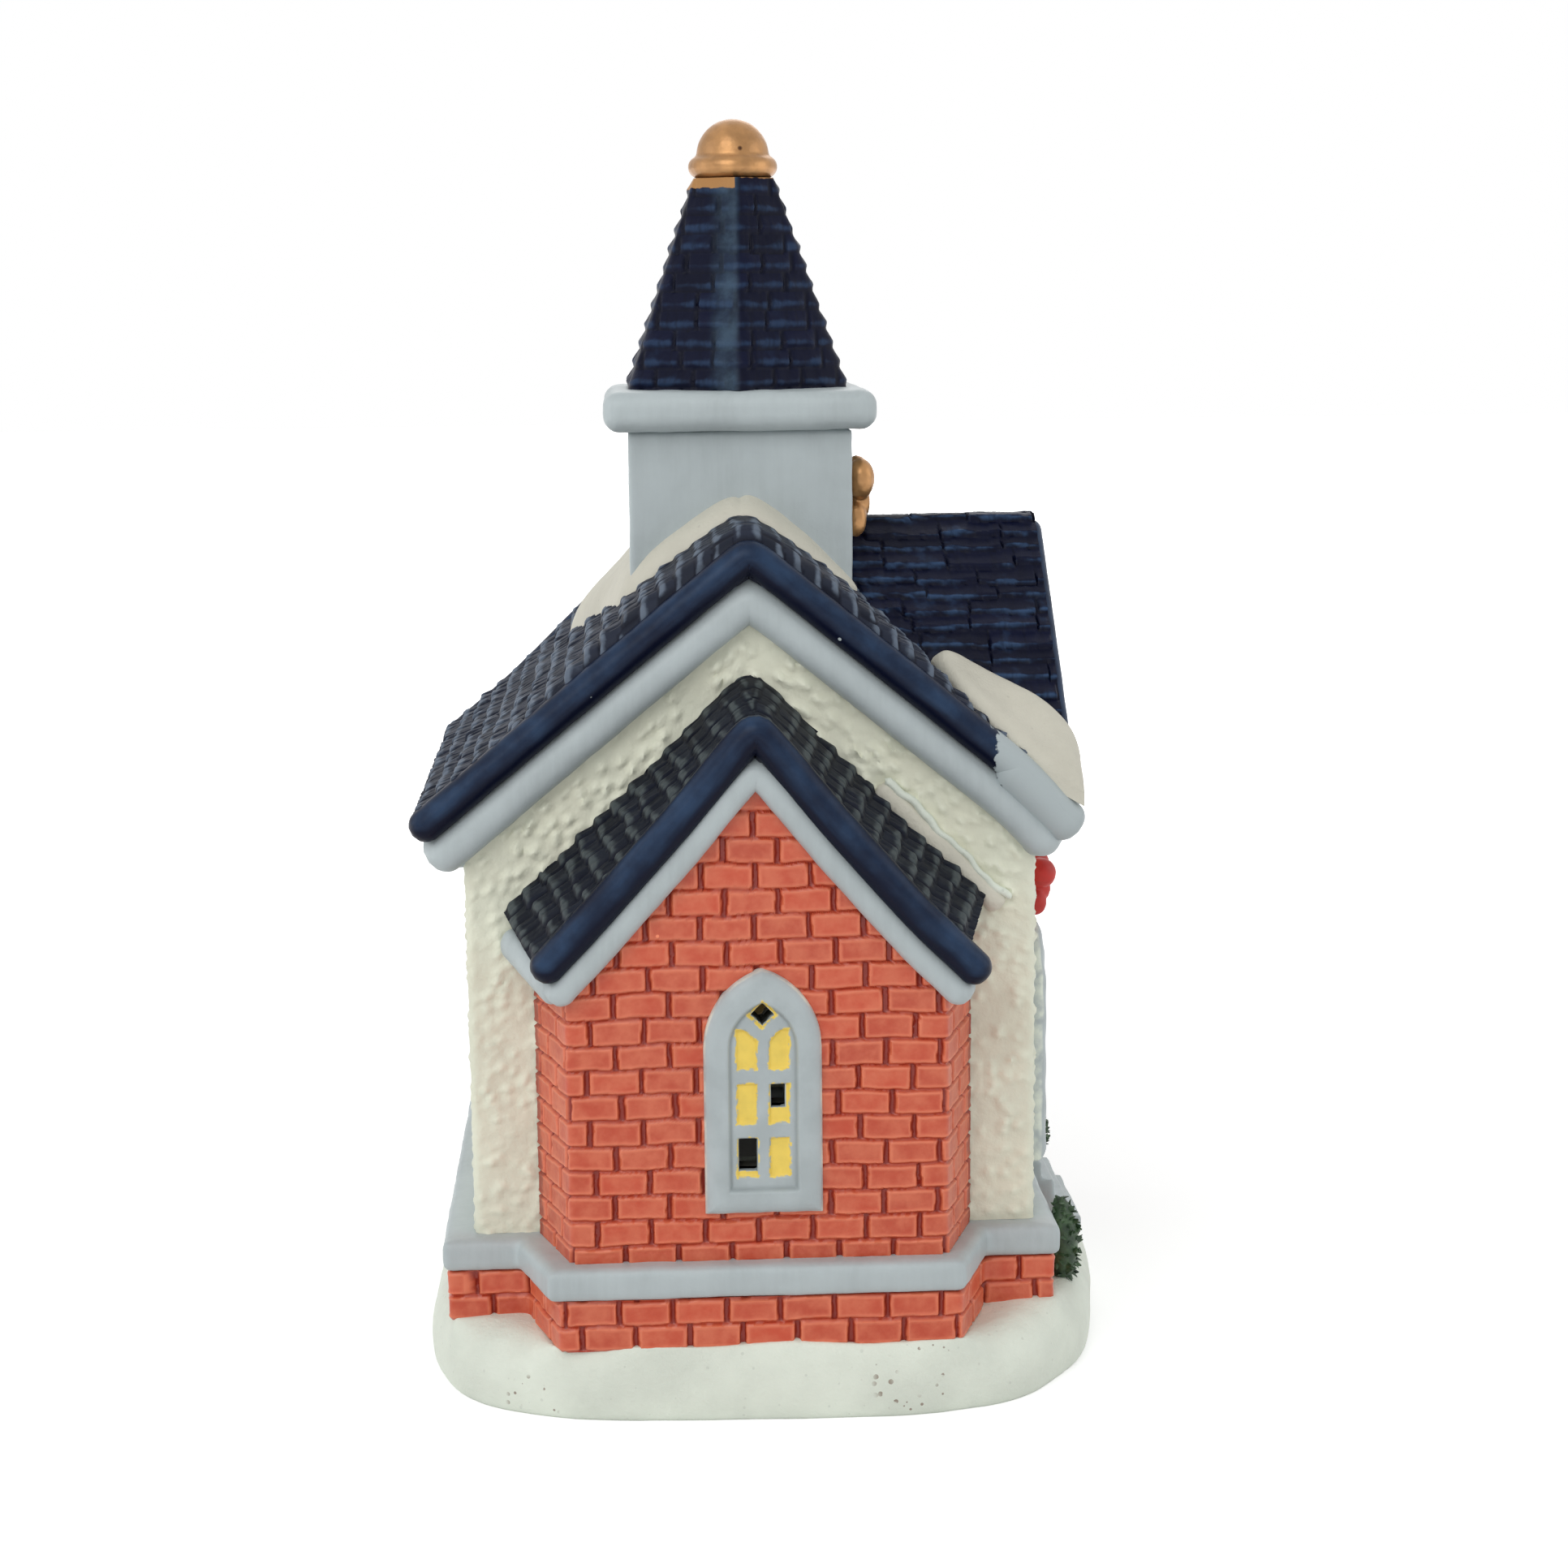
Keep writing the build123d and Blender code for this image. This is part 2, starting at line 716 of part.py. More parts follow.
def turned(points):
    """Solid turned about the lamp's axis from (distance into the room, radius) points."""
    profile = make_face(Polyline(*[(radius, 0, along) for along, radius in points], close=True))
    return lamp_axis() * revolve(profile, Axis.Z)


def lamp_holder():
    flange = lamp_hole_radius + lamp_flange_lip
    back = -lamp_flange_thick - lamp_boss_length
    body = turned([
        (back, 0), (back, lamp_boss_end), (-lamp_flange_thick, lamp_boss_radius),
        (-lamp_flange_thick, flange), (0, flange), (0, lamp_neck), (lamp_neck_length, lamp_neck),
        (lamp_neck_length, 0)])
    socket_floor = lamp_neck_length - socket_depth
    body -= turned([(socket_floor, 0), (socket_floor, socket_radius), (lamp_neck_length, socket_radius),
                    (lamp_neck_length, 0)])
    gland_end = back + gland_length
    return body - turned([(back, 0), (back, gland_radius), (gland_end, gland_radius), (gland_end, 0)])


def lamp_springs():
    """One sheet clip: a washer behind the flange and two arms that bulge past the hole."""
    arm_outside = sqrt((lamp_hole_radius - spring_clearance) ** 2 - (spring_width / 2) ** 2)
    arm_radius = arm_outside - spring_thick
    washer = turned([(0, lamp_neck + spring_clearance / 2), (0, arm_outside),
                     (spring_thick, arm_outside), (spring_thick, lamp_neck + spring_clearance / 2)])
    bulge = lamp_hole_radius + spring_bulge
    inside = clay + spring_clearance
    tip = lamp_neck_length - spring_thick
    inner = [(0, arm_radius), (inside, arm_radius), (inside + spring_bulge, bulge - spring_thick),
             (tip, lamp_neck + spring_clearance)]
    outer = [(tip, lamp_neck + spring_clearance + spring_thick), (inside + spring_bulge, bulge),
             (inside, arm_outside), (0, arm_outside)]
    outline = make_face(Polyline(*[(0, radius, along) for along, radius in inner + outer], close=True))
    arm = extrude(outline, spring_width / 2, dir=(1, 0, 0), both=True)
    arms = lamp_axis() * (arm + Rot(0, 0, 180) * arm)
    return washer + (arms & turned([(0, 0), (0, bulge), (tip, bulge), (tip, 0)]))


def cap_end():
    """Distance of the bulb cap's rim into the room."""
    return lamp_neck_length - cap_foot_gap


def bulb_cap():
    radius = socket_radius - cap_clearance
    foot = lamp_neck_length - socket_depth + cap_foot_gap
    cup = cap_end() - cap_bore
    return turned([
        (foot, 0), (foot, cap_contact), (foot + cap_shoulder, radius), (cap_end(), radius),
        (cap_end(), bulb_neck), (cup, bulb_neck), (cup, 0)])


def glass_body(inset):
    """Candle bulb, full inside, drawn in by an inset."""
    neck = (bulb_neck - inset, 0, cap_end() + inset)
    belly = (bulb_radius - inset, 0, cap_end() + bulb_length * bulb_belly)
    tip = (0, 0, cap_end() + bulb_length - inset)
    flare = Spline(neck, belly, tangents=[(0, 0, 1), (0, 0, 1)])
    crown = Spline(belly, tip, tangents=[(0, 0, 1), (-1, 0, 0)])
    profile = make_face([flare, crown, Polyline(tip, (0, 0, neck[2]), neck)])
    return lamp_axis() * revolve(profile, Axis.Z)


def bulb_glass():
    return glass_body(0) - glass_body(bulb_wall)


def bulb_filament():
    """Glass stem, two lead wires and the filament across them."""
    foot = cap_end() + bulb_wall
    top = foot + stem_length
    stem = turned([(foot, 0), (foot, stem_radius), (top, stem_radius), (top, 0)])
    lead = Pos(0, 0, top) * extrude(Circle(wire_radius), wire_length)
    spread = stem_radius / 2
    leads = Pos(spread) * lead + Pos(-spread) * lead
    coil = Rot(0, 90, 0) * extrude(Circle(filament_radius), filament_half, both=True)
    return stem + lamp_axis() * (leads + Pos(0, 0, top + wire_length) * coil)


def group(solids):
    return Compound(children=list(solids))


pieces = {
    "snow_base": snow_base(),
    "plinth": plinth(),
    "sill_band": sill_band(),
    "wall_shell": wall_shell(),
    "bay_wall": bay_wall(),
    "bay_window": bay_window_wall() * window(),
    "bay_barge_board": bay_barge_board(),
    "bay_roof": bay_roof(),
    "bay_roof_roll": bay_roof_roll(),
    "main_roof": main_roof(),
    "verge_rolls": verge_rolls(),
    "barge_boards": barge_boards(),
    "back_window": back_window_wall() * window(),
    "front_windows": group(wall * window() for wall in front_window_walls()),
    "door_surround": door_surround(),
    "church_door": church_door(),
    "front_steps": front_steps(),
    "red_bows": group(red_bows()),
    "garlands": group(garlands()),
    "bushes": group(bushes()),
    "tower": tower(),
    "tower_cornice": tower_cornice(),
    "spire": spire(),
    "finial": finial(),
    "gold_bow": gold_bow(),
    "tower_snow": tower_snow(),
    "corner_drift": corner_drift(),
    "lamp_holder": lamp_holder(),
    "lamp_springs": lamp_springs(),
    "bulb_cap": bulb_cap(),
    "bulb_glass": bulb_glass(),
    "bulb_filament": bulb_filament(),
}

os.makedirs("parts", exist_ok=True)
for name, piece in pieces.items():
    export_step(Pos(house_x, house_y) * piece, f"parts/{name}.step")
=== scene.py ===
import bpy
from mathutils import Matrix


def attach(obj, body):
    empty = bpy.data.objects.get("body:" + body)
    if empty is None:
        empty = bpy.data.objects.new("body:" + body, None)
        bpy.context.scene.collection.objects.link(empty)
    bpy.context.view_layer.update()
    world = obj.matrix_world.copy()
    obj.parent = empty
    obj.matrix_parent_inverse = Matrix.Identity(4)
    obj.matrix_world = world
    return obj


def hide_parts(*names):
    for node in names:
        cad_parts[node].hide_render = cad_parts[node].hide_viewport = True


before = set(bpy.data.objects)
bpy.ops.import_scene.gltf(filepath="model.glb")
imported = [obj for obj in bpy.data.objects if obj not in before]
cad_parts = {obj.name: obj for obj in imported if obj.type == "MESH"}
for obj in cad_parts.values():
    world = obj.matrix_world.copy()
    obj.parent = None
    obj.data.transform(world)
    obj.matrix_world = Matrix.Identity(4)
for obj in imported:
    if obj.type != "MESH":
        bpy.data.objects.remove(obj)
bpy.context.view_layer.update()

from math import atan2, cos, hypot, pi, radians, sin, tan

import bmesh
import bpy
import numpy as np
from mathutils import Matrix, Vector

bl_info = {
    "name": "Ceramic village church",
    "version": (1, 0, 0),
    "blender": (4, 5, 0),
    "location": "View3D > Sidebar > Church",
    "description": "Dresses the cast church in brick, stucco, shingles, snow and hand-laid paint",
    "category": "Add Mesh",
}

# Sizes in millimetres, measured from the tower's axis.
MM = 0.001
HOUSE_X, HOUSE_Y = -3.6, 6.0           # the tower's axis in the scene
CLAY = 4.0                             # thickness of the cast walls

# Walls and base
WALL_X, WALL_Y = 41.9, 39.2
BASE_TOP, PLINTH_TOP, BAND_TOP = 10.5, 18.1, 22.9
PLINTH_PROUD = 2.5
PLINTH_REAR = 1.2                      # how much further the plinth stands out under the rear wall
BAND_STRETCH, STEPS_STRETCH = 1.013, 0.85    # how far out they stand, against the solid model
BASE_CORNERS = (                       # plan of the snow base
    (-49.4, -31.0), (-43.5, -48.0), (-27.5, -56.0), (0.0, -57.8), (24.0, -57.8), (38.5, -53.5), (50.6, -37.0),
    (55.2, -8.0), (55.2, 8.0), (49.4, 37.0), (41.6, 45.7), (-40.4, 45.7), (-48.2, 37.0))
BASE_ROUND, BASE_BELLY, BASE_FOOT = 9.0, 4.0, 0.7    # corners' radius, bulge's height, inset of the foot
LAMP_HEIGHT, LAMP_HOLE = 45.0, 14.0
SCUFFS = (((22.0, -57.0, 6.0), 7.0), ((-33.0, -52.5, 2.0), 4.5))   # worn spots on the snow and their reach
STUCCO_LOW, STUCCO_REAR = 0.6, 0.5     # share of the pebbles' relief low down and on the rear wall
STUCCO_FROM, STUCCO_OVER = 60.0, 15.0  # height where the relief starts to grow, and over what height
STUCCO_CORNER, CORNER_REACH = 0.25, 4.0      # its share at the corners, and over what length it grows
LEDGE_X, LEDGE_OUT = (18.5, 36.5), 2.0       # where clay was smeared along the bay roof's edge on the wall
LEDGE_HALVES, FRINGE_HALVES = (1.2, 1.7), (0.5, 0.55)    # half sections of that clay and its torn edge

# Main roof
EAVE, RIDGE = 86.1, 126.0
ROOF_X, ROOF_Y = 48.6, 43.0
SLAB = 4.2
ROLL = SLAB / 2
COURSES = 18
VERGE_ROLL, FRONT_ROLL, BAY_ROLL = 2.45, 1.7, 2.5     # radius of the painted rolls
GREY_ROLL_X = 35.3                     # past here the near verge's roll is grey under the corner snow
CORNER_ROLL, CORNER_START = (2.6, 3.1), 1.2    # half section of the thicker grey end, and where it starts
CORNER_SHIFT = (0.4, 0.0, 0.6)         # how far it lies to the left of the roll's line and below it
FRONT_ROLL_INSET = 0.5                 # how far the front roll lies back from the others' line
BOARD_DROP, BAY_BOARD_DROP = 6.7, 5.6  # from the roofs' outside to the middle of the boards, square to it
BOARD_HALF, BAY_BOARD_HALF = (3.1, 3.3), (2.3, 2.4)   # half thickness and half depth of the boards
BOARD_EDGE, BOARD_LEAN = 0.75, 0.92    # roundness of the boards, and how far they turn under
BOARD_PROUD, BAY_BOARD_PROUD = 0.4, 0.5      # from the walls to the middle of the boards
ROLL_LONGER, BOARD_LONGER = (1.4, 0.5), (2.2, 0.2)    # how far they run past the eaves to each side
BOARD_DROOP = 1.6                      # how far the near roll sags at the front corner
BOARD_SAG = 1.4 * BOARD_DROOP          # and the board under it
BOARD_LIFT = 0.8                       # share of the shingles' lift that the far board follows
DROOP_FROM, DROOP_OVER = 36.0, 14.0    # where the sag starts, and over what length it grows
ROOF_LIFT, LONG_ROUND = 3.2, 2.8       # how far the shingles stand up along the long ridge, and its roundness
LIFT_FROM, LIFT_OVER = 12.0, 28.0      # distance from the ridge where that lift starts to fade, and its run
LIFT_NEAR = 3.5                        # how soon it grows behind the near verge
LONG_CALM = (0.3, 1.0, 3.0, 20.0)      # relief at the ridge and on the slope, start and run of the change
RUN_START, SIDES_APART = 60.0, 200.0   # where the shingles' run starts, and what sets a roof's sides apart
VALLEY_FILL, VALLEY_LAP = 5.0, 0.6     # roundness of the snow over the valley, and lap of the shingles in it
COLLAR = (                             # plan of the snow round the tower's foot, from far to near
    (17.0, 19.5), (12.0, 21.0), (-14.0, 21.5), (-23.5, 20.0), (-27.0, 14.0), (-24.0, 4.0), (-20.5, -8.0),
    (-18.5, -16.0), (-14.0, -20.3), (-5.0, -21.2), (4.0, -21.2), (14.0, -20.2), (20.0, -17.2))
COLLAR_ROUND = 1.2                     # how roundly that snow goes over the ridge
# Edges of the snow in the valley
DRIFT_UPPER = ((28.0, -24.2), (31.5, -23.0), (44.5, -29.2), (48.4, -34.0), (48.2, -41.0))
DRIFT_LOWER = ((27.6, -25.6), (31.0, -35.0), (36.0, -39.4), (41.5, -41.6), (48.0, -42.8))

# Bay
BAY_Y = 53.6
BAY_FRONT, BAY_WALL = 27.1, 32.0
BAY_SLAB_Y = 55.0
BAY_COURSES = 13
BAY_RAISE = -1.25                      # level of the bay's first bed joint above the band
BAY_ROOF_FRONT = (32.0, 65.2, 101.5)   # half width, eave and ridge height
BAY_ROOF_BACK = (36.4, 68.7, 106.0)
BAY_ROUND = 2.6                        # roundness of the bay roof's ridge
BAY_SPAN = (-0.99, 0.94)               # where its shingles end, as shares of its half width
BAY_RAKES = 114.05                     # length of both rakes that its mesh is divided by
BAY_ROLL_LONGER, BAY_BOARD_LONGER = (0.7, 1.9), (1.6, 2.3)    # how far they run past the eaves
BAY_CALM = (0.25, 0.8, 2.0, 14.0)      # relief as in LONG_CALM
BAY_LIFT, BAY_TILT = 1.2, 0.018        # how far the gable stands higher, and how much less to the right
BAY_PEAK, PEAK_HALF = 0.9, 12.0        # what is added to that at the ridge, and how far to each side
BAY_FLARE, FLARE_FROM, FLARE_OVER = (0.6, 1.6), 20.0, 14.0    # and at its left and right ends
BAY_EAVE_DROP, BAY_EAVE_HALF = 1.2, (1.7, 2.4)    # the grey bar under the bay's left eave: drop, half section
BAY_EAVE_FRONT, BAY_EAVE_IN = (1.2, 0.5, 0.8), 0.8    # from the board to its front end, inset of its far end
BAY_ROOM_TOP, BAY_ROOM_HALF = 58.0, 23.1

# Windows
WINDOW_SILL, WINDOW_WIDTH, WINDOW_HEIGHT, WINDOW_SPRING = 30.1, 16.8, 35.7, 24.3
WINDOW_PROUD, FRAME_FACE, FRAME_CROWN, FRAME_STEP = 1.5, 3.4, 4.6, 0.8
WINDOW_COLUMNS = 96                    # fineness of a window's mesh across its width
PANE_ROWS, PANE_DEPTH = 3, 0.45
PANE_WIDTH, PANE_HEIGHT, PANE_PITCH = 2.9, 5.8, 7.9
PANE_FIRST, PANE_SIDE = 8.3, 2.3       # height of the lowest row's middle, and half its spacing
DIAMOND_MIDDLE, DIAMOND_HALF = 29.2, 2.1
PIERCED = ((1.1, 3.1, 15.6, 19.0), (-3.55, -0.95, 6.3, 11.1))   # left, right, foot and head of the cut panes
PANE_MARGIN, PANE_CORNER = 0.9, 1.7    # clay round the pierced diamond, and the top panes' cut corner
FRONT_WINDOW_Y, FRONT_WINDOW_PROUD = 25.0, 2.6
BAY_WINDOW_X, BAY_WINDOW_PROUD = 0.6, 2.0

# Tower, bows and greenery
TOWER_HALF = 16.75
SPIRE_FOOT, SPIRE_TOP = 145.3, 176.7
SPIRE_HALF, SPIRE_TOP_HALF = 16.6, 6.0
SPIRE_COURSES, SPIRE_SHINGLE, SPIRE_SIDES = 11, 6.2, 6
SPIRE_RUN_START = 90.0
ARRIS_CALM, ARRIS_HIGHLIGHT = 2.6, (3.4, 1.3)     # where the relief is full, and reach of the painted highlight to each side
GILT_PIT = (0.9, -5.2, 181.0)          # a pit in the finial, its shade painted as a dark spot
BOW = (                                # lobes of half a bow in shares of its size: out, aside, up, radii
    (0.42, 0.62, 0.74, 0.58, 0.38, 0.27), (0.4, 0.3, 0.62, 0.44, 0.3, 0.2),
    (0.38, 0.24, 0.42, 0.5, 0.2, 0.28), (0.26, 0.42, 0.2, 0.44, 0.22, 0.24),
    (0.5, 0.0, 0.6, 0.46, 0.2, 0.22))
BOW_CASTING = (0.3, 8, 0.14, 3.0)      # voxel, rounding, wobble and wave of the bows
GILT_BOW, RED_BOW = (1.05, 1.12), (1.2, 1.0)    # depth and height against the solid model
GREENS = (("garlands", 56.0, 0.7), ("bushes", 57.0, 0.86))    # node, seed and depth against the solid model
LEAF_SEED, TUMBLE_SEED = 7, 3
ROLL_SIDES, ROLL_STEP = 28, 0.4        # mesh of the rolls
ROLL_WAVE, ROLL_WOBBLE = 6.0, 0.1      # length and depth of their dents

# The lamp's nodes, with paint, roughness, metal, clearness, cloud size or brush stroke, two tones,
# and the size and depth of the grain
LAMP_PAINTS = {
    "lamp_holder": ("holder_plastic", 0.42, 0.0, 0.0, (12.0,), (226, 224, 216), (238, 236, 230), (0.5, 0.03)),
    "lamp_springs": ("spring_steel", 0.3, 1.0, 0.0, (200.0, 2500.0, 2500.0), (160, 162, 164), (196, 198, 200),
                     (0.4, 0.02)),
    "bulb_cap": ("cap_brass", 0.28, 1.0, 0.0, (4.0,), (176, 140, 74), (206, 172, 100), (0.4, 0.02)),
    "bulb_glass": ("bulb_glass", 0.03, 0.0, 1.0, (9.0,), (246, 248, 248), (255, 255, 255), None),
    "bulb_filament": ("stem_glass", 0.3, 0.0, 0.0, (3.0,), (150, 150, 146), (205, 205, 200), (0.4, 0.02))}

# Stage, in metres
FLOOR_REACH = 3.0
AIM = (0, 0, 0.085)
LIGHTS = (                             # name, place, size and setting of the power
    ("key", (-0.35, -0.8, 0.75), 0.7, "key_light"), ("left", (-0.9, -0.1, 0.4), 0.6, "fill_light"),
    ("right", (0.9, -0.2, 0.4), 0.6, "fill_light"), ("behind", (0.1, 0.9, 0.6), 0.6, "fill_light"))


def srgb(red, green, blue):
    """Linear colour of a paint that is named by its screen values from 0 to 255."""
    shares = np.array([red, green, blue]) / 255
    return tuple(np.where(shares <= 0.04045, shares / 12.92, ((shares + 0.055) / 1.055) ** 2.4))


def colour_setting(name, description, *screen):
    return bpy.props.FloatVectorProperty(
        name=name, description=description, subtype="COLOR", size=3, min=0, max=1, default=srgb(*screen))


def length_setting(name, description, default):
    return bpy.props.FloatProperty(name=name, description=description, default=default, min=0, precision=3)


class ChurchPaints(bpy.types.PropertyGroup):
    """Paints of the finished casting."""
    snow: colour_setting("Snow", "Cream white of the snow", 228, 235, 222)
    scuff: colour_setting("Scuff", "Brown of the worn spots on the snow", 120, 92, 72)
    slip: colour_setting("Slip", "Duller cream of the snow on the roofs", 211, 208, 193)
    stucco: colour_setting("Stucco", "Cream of the rendered walls", 233, 235, 215)
    stucco_warm: colour_setting("Warm stucco", "Yellower cream in patches of the walls", 230, 226, 203)
    trim: colour_setting("Trim", "Pale grey of boards, band and tower", 179, 189, 191)
    brick: colour_setting("Brick face", "Red on the faces of the bricks", 196, 72, 40)
    # Brick rim: thin paint on the bricks' edges, and a painted highlight there.
    brick_rim: colour_setting("Brick rim", "Thin paint on the bricks' edges", 234, 130, 94)
    # This red is also the painted shade on the bricks beside the front wall.
    brick_joint_and_shade: colour_setting("Brick joint", "Paint that pooled in the joints", 140, 34, 14)
    navy: colour_setting("Navy", "Dark blue of the shingles", 9, 14, 38)
    # Brushed navy: dry-brushed paint and a painted highlight, on the shingles' lower edges and on the rolls.
    navy_brush_and_highlight: colour_setting("Brushed navy", "Lighter blue dragged over the edges", 62, 88, 124)
    # Arris: a painted highlight, greyer blue down the spire's front edge.
    arris: colour_setting("Arris", "Greyer blue worn along the spire's front edge", 74, 96, 116)
    roll: colour_setting("Roll", "Deep blue of the rolls along the roofs' ends", 10, 15, 36)
    # Olive: dry brushing on the bay roof's shingle edges, and a painted highlight there.
    olive: colour_setting("Olive", "Dry brushing on the bay roof", 84, 92, 94)
    # Slate: the long roof's navy, greyed as a painted sheen for the light that grazes it.
    slate: colour_setting("Slate", "Dull dark paint of the roof's rear slope", 38, 43, 56)
    # Worn slate: a painted highlight on the edges of the long roof's shingles.
    slate_highlight: colour_setting("Worn slate", "Grey on the edges of the rear slope", 112, 124, 140)
    gold: colour_setting("Gold", "Gilt of the finial and the tower bow", 178, 132, 84)
    gold_dark: colour_setting("Dark gold", "Brown in the hollows of the gilt", 104, 62, 30)
    lit_pane: colour_setting("Lit pane", "Yellow of the painted panes", 244, 214, 98)
    door: colour_setting("Door", "Stained boards of the door", 112, 62, 38)
    ribbon: colour_setting("Ribbon", "Red of the bows", 192, 34, 22)
    leaf: colour_setting("Leaf", "Green of bushes and garlands", 26, 48, 30)
    leaf_pale: colour_setting("Pale leaf", "Green on the tips of the leaves", 66, 94, 60)


class ChurchBricks(bpy.types.PropertyGroup):
    """Brickwork of the bay and the plinth, in millimetres."""
    course: length_setting("Course", "Height of a course with its bed joint", 3.7)
    brick: length_setting("Brick", "Length of a brick with its cross joint", 7.7)
    bed_joint: length_setting("Bed joint", "Width of the joints between courses", 0.16)
    cross_joint: length_setting("Cross joint", "Width of the joints between bricks", 0.34)
    relief: length_setting("Relief", "How far the bricks stand out of the joints", 0.75)
    bevel: length_setting("Bevel", "Width of a brick's soft edge", 0.36)
    fineness: length_setting("Fineness", "Spacing of the mesh", 0.28)


class ChurchShingles(bpy.types.PropertyGroup):
    """Shingled roofs, in millimetres."""
    width: length_setting("Width", "Mean width of a shingle on the front roof", 10.0)
    shake: length_setting("Shake", "Mean width of the split shakes on the rear slope and the bay", 3.4)
    butt: length_setting("Butt", "Thickness of a shingle's lower edge", 0.8)
    shake_butt: length_setting("Shake butt", "Thickness of a shake's lower edge", 1.0)
    joint: length_setting("Joint", "Width of the gap between shingles", 0.4)
    ragged: length_setting("Ragged", "How unevenly the lower edges lie, as a share of a course", 0.24)
    grain: length_setting("Grain", "Depth of the shakes' grain", 0.34)
    fineness: length_setting("Fineness", "Spacing of the mesh", 0.3)


class ChurchClay(bpy.types.PropertyGroup):
    """Softness of the cast clay, in millimetres."""
    voxel: length_setting("Voxel", "Fineness of the softened castings", 0.45)
    wobble: length_setting("Wobble", "Depth of the uneven hand finish", 0.22)
    pebble: length_setting("Pebble", "Height of the stucco's pebbles", 1.15)
    pebble_size: length_setting("Pebble size", "Width of the stucco's pebbles", 1.8)
    fineness: length_setting("Fineness", "Spacing of the wall and snow meshes", 0.55)
    snow_depth: length_setting("Snow depth", "Thickness of the snow that lies on the roofs", 2.4)


class ChurchStage(bpy.types.PropertyGroup):
    """Camera and studio light."""
    camera_place: bpy.props.FloatVectorProperty(
        name="Camera place", description="Where the camera stands", subtype="TRANSLATION", unit="LENGTH",
        size=3, default=(-0.02075, -0.43622, 0.1601))
    camera_turn: bpy.props.FloatVectorProperty(
        name="Camera turn", description="Yaw, pitch down and roll of the camera", subtype="EULER",
        unit="ROTATION", size=3, default=(radians(3.118), radians(9.913), radians(0.55)))
    lens: bpy.props.FloatProperty(
        name="Lens", description="Focal length on a 36 mm sensor", subtype="NONE", default=65.08, min=1)
    key_light: bpy.props.FloatProperty(
        name="Key light", description="Power of the large lamp before the house", default=3.9, min=0,
        subtype="POWER", unit="POWER")
    fill_light: bpy.props.FloatProperty(
        name="Fill light", description="Power of the lamps at the sides", default=1.35, min=0,
        subtype="POWER", unit="POWER")
    room_light: bpy.props.FloatProperty(
        name="Room light", description="Strength of the even light from all round", default=0.5, min=0)


# Node trees


def socket_name(name):
    """Name of a node group's socket, from the name of a value."""
    return name.replace("_", " ").title()


def arithmetic(operation, turned=False):
    """Operator that adds a math node to a wire's tree."""
    def add_node(self, other):
        return self.graph.math(operation, *((other, self) if turned else (self, other)))
    return add_node


class Wire:
    """Output of a node. Arithmetic on it adds math nodes to its tree."""

    def __init__(self, graph, socket):
        self.graph = graph
        self.socket = socket

    __add__, __radd__ = arithmetic("ADD"), arithmetic("ADD", True)
    __sub__, __rsub__ = arithmetic("SUBTRACT"), arithmetic("SUBTRACT", True)
    __mul__, __rmul__ = arithmetic("MULTIPLY"), arithmetic("MULTIPLY", True)
    __truediv__, __rtruediv__ = arithmetic("DIVIDE"), arithmetic("DIVIDE", True)
    __lt__ = arithmetic("LESS_THAN")


class Graph:
    """Short way to write a node tree."""

    def __init__(self, tree):
        self.tree = tree

    def node(self, kind, inputs=None, **settings):
        made = self.tree.nodes.new(kind)
        for key, value in settings.items():
            setattr(made, key, value)
        for key, value in (inputs or {}).items():
            self.feed(made.inputs[key], value)
        return made

    def wire(self, kind, output, inputs=None, **settings):
        return Wire(self, self.node(kind, inputs, **settings).outputs[output])

    def feed(self, socket, value):
        if isinstance(value, Wire):
            self.tree.links.new(value.socket, socket)
        else:
            socket.default_value = value

    def give(self, **results):
        """Ends a group with what it gives, and returns its tree."""
        self.node("NodeGroupOutput", results)
        return self.tree

    def math(self, operation, *values):
        return self.wire("ShaderNodeMath", 0, dict(enumerate(values)), operation=operation)

    def floor(self, value):
        return self.math("FLOOR", value)

    def least(self, one, other):
        return self.math("MINIMUM", one, other)

    def most(self, one, other):
        return self.math("MAXIMUM", one, other)

    def smooth(self, value, low, high):
        """0 below low, 1 above high, with soft ends."""
        return self.wire("ShaderNodeMapRange", "Result", {"Value": value, "From Min": low, "From Max": high},
                         interpolation_type="SMOOTHSTEP")

    def vector(self, x=0.0, y=0.0, z=0.0):
        return self.wire("ShaderNodeCombineXYZ", 0, {"X": x, "Y": y, "Z": z})

    def split(self, vector):
        parts = self.node("ShaderNodeSeparateXYZ", {"Vector": vector})
        return [Wire(self, socket) for socket in parts.outputs]

    def stretch(self, vector, factors):
        """Vector times another, each axis by itself."""
        return self.wire("ShaderNodeVectorMath", 0, {0: vector, 1: factors}, operation="MULTIPLY")

    def noise(self, vector, scale, detail=2.0, roughness=0.5):
        return self.wire("ShaderNodeTexNoise", 0, {
            "Vector": vector, "Scale": scale, "Detail": detail, "Roughness": roughness})

    def ripple(self, vector, scale, detail=2.0):
        """Noise that swings about zero."""
        return self.noise(vector, scale, detail) - 0.5

    def chance(self, x, y=0.0, z=0.0):
        """Even random number for a cell."""
        return self.wire("ShaderNodeTexWhiteNoise", "Value", {"Vector": self.vector(x, y, z)})

    def mix(self, share, one, other):
        """Colour between two others, which are wires or plain colours."""
        one, other = [colour if isinstance(colour, Wire) else (*colour, 1.0) for colour in (one, other)]
        return self.wire("ShaderNodeMix", 2, {0: share, 6: one, 7: other}, data_type="RGBA")


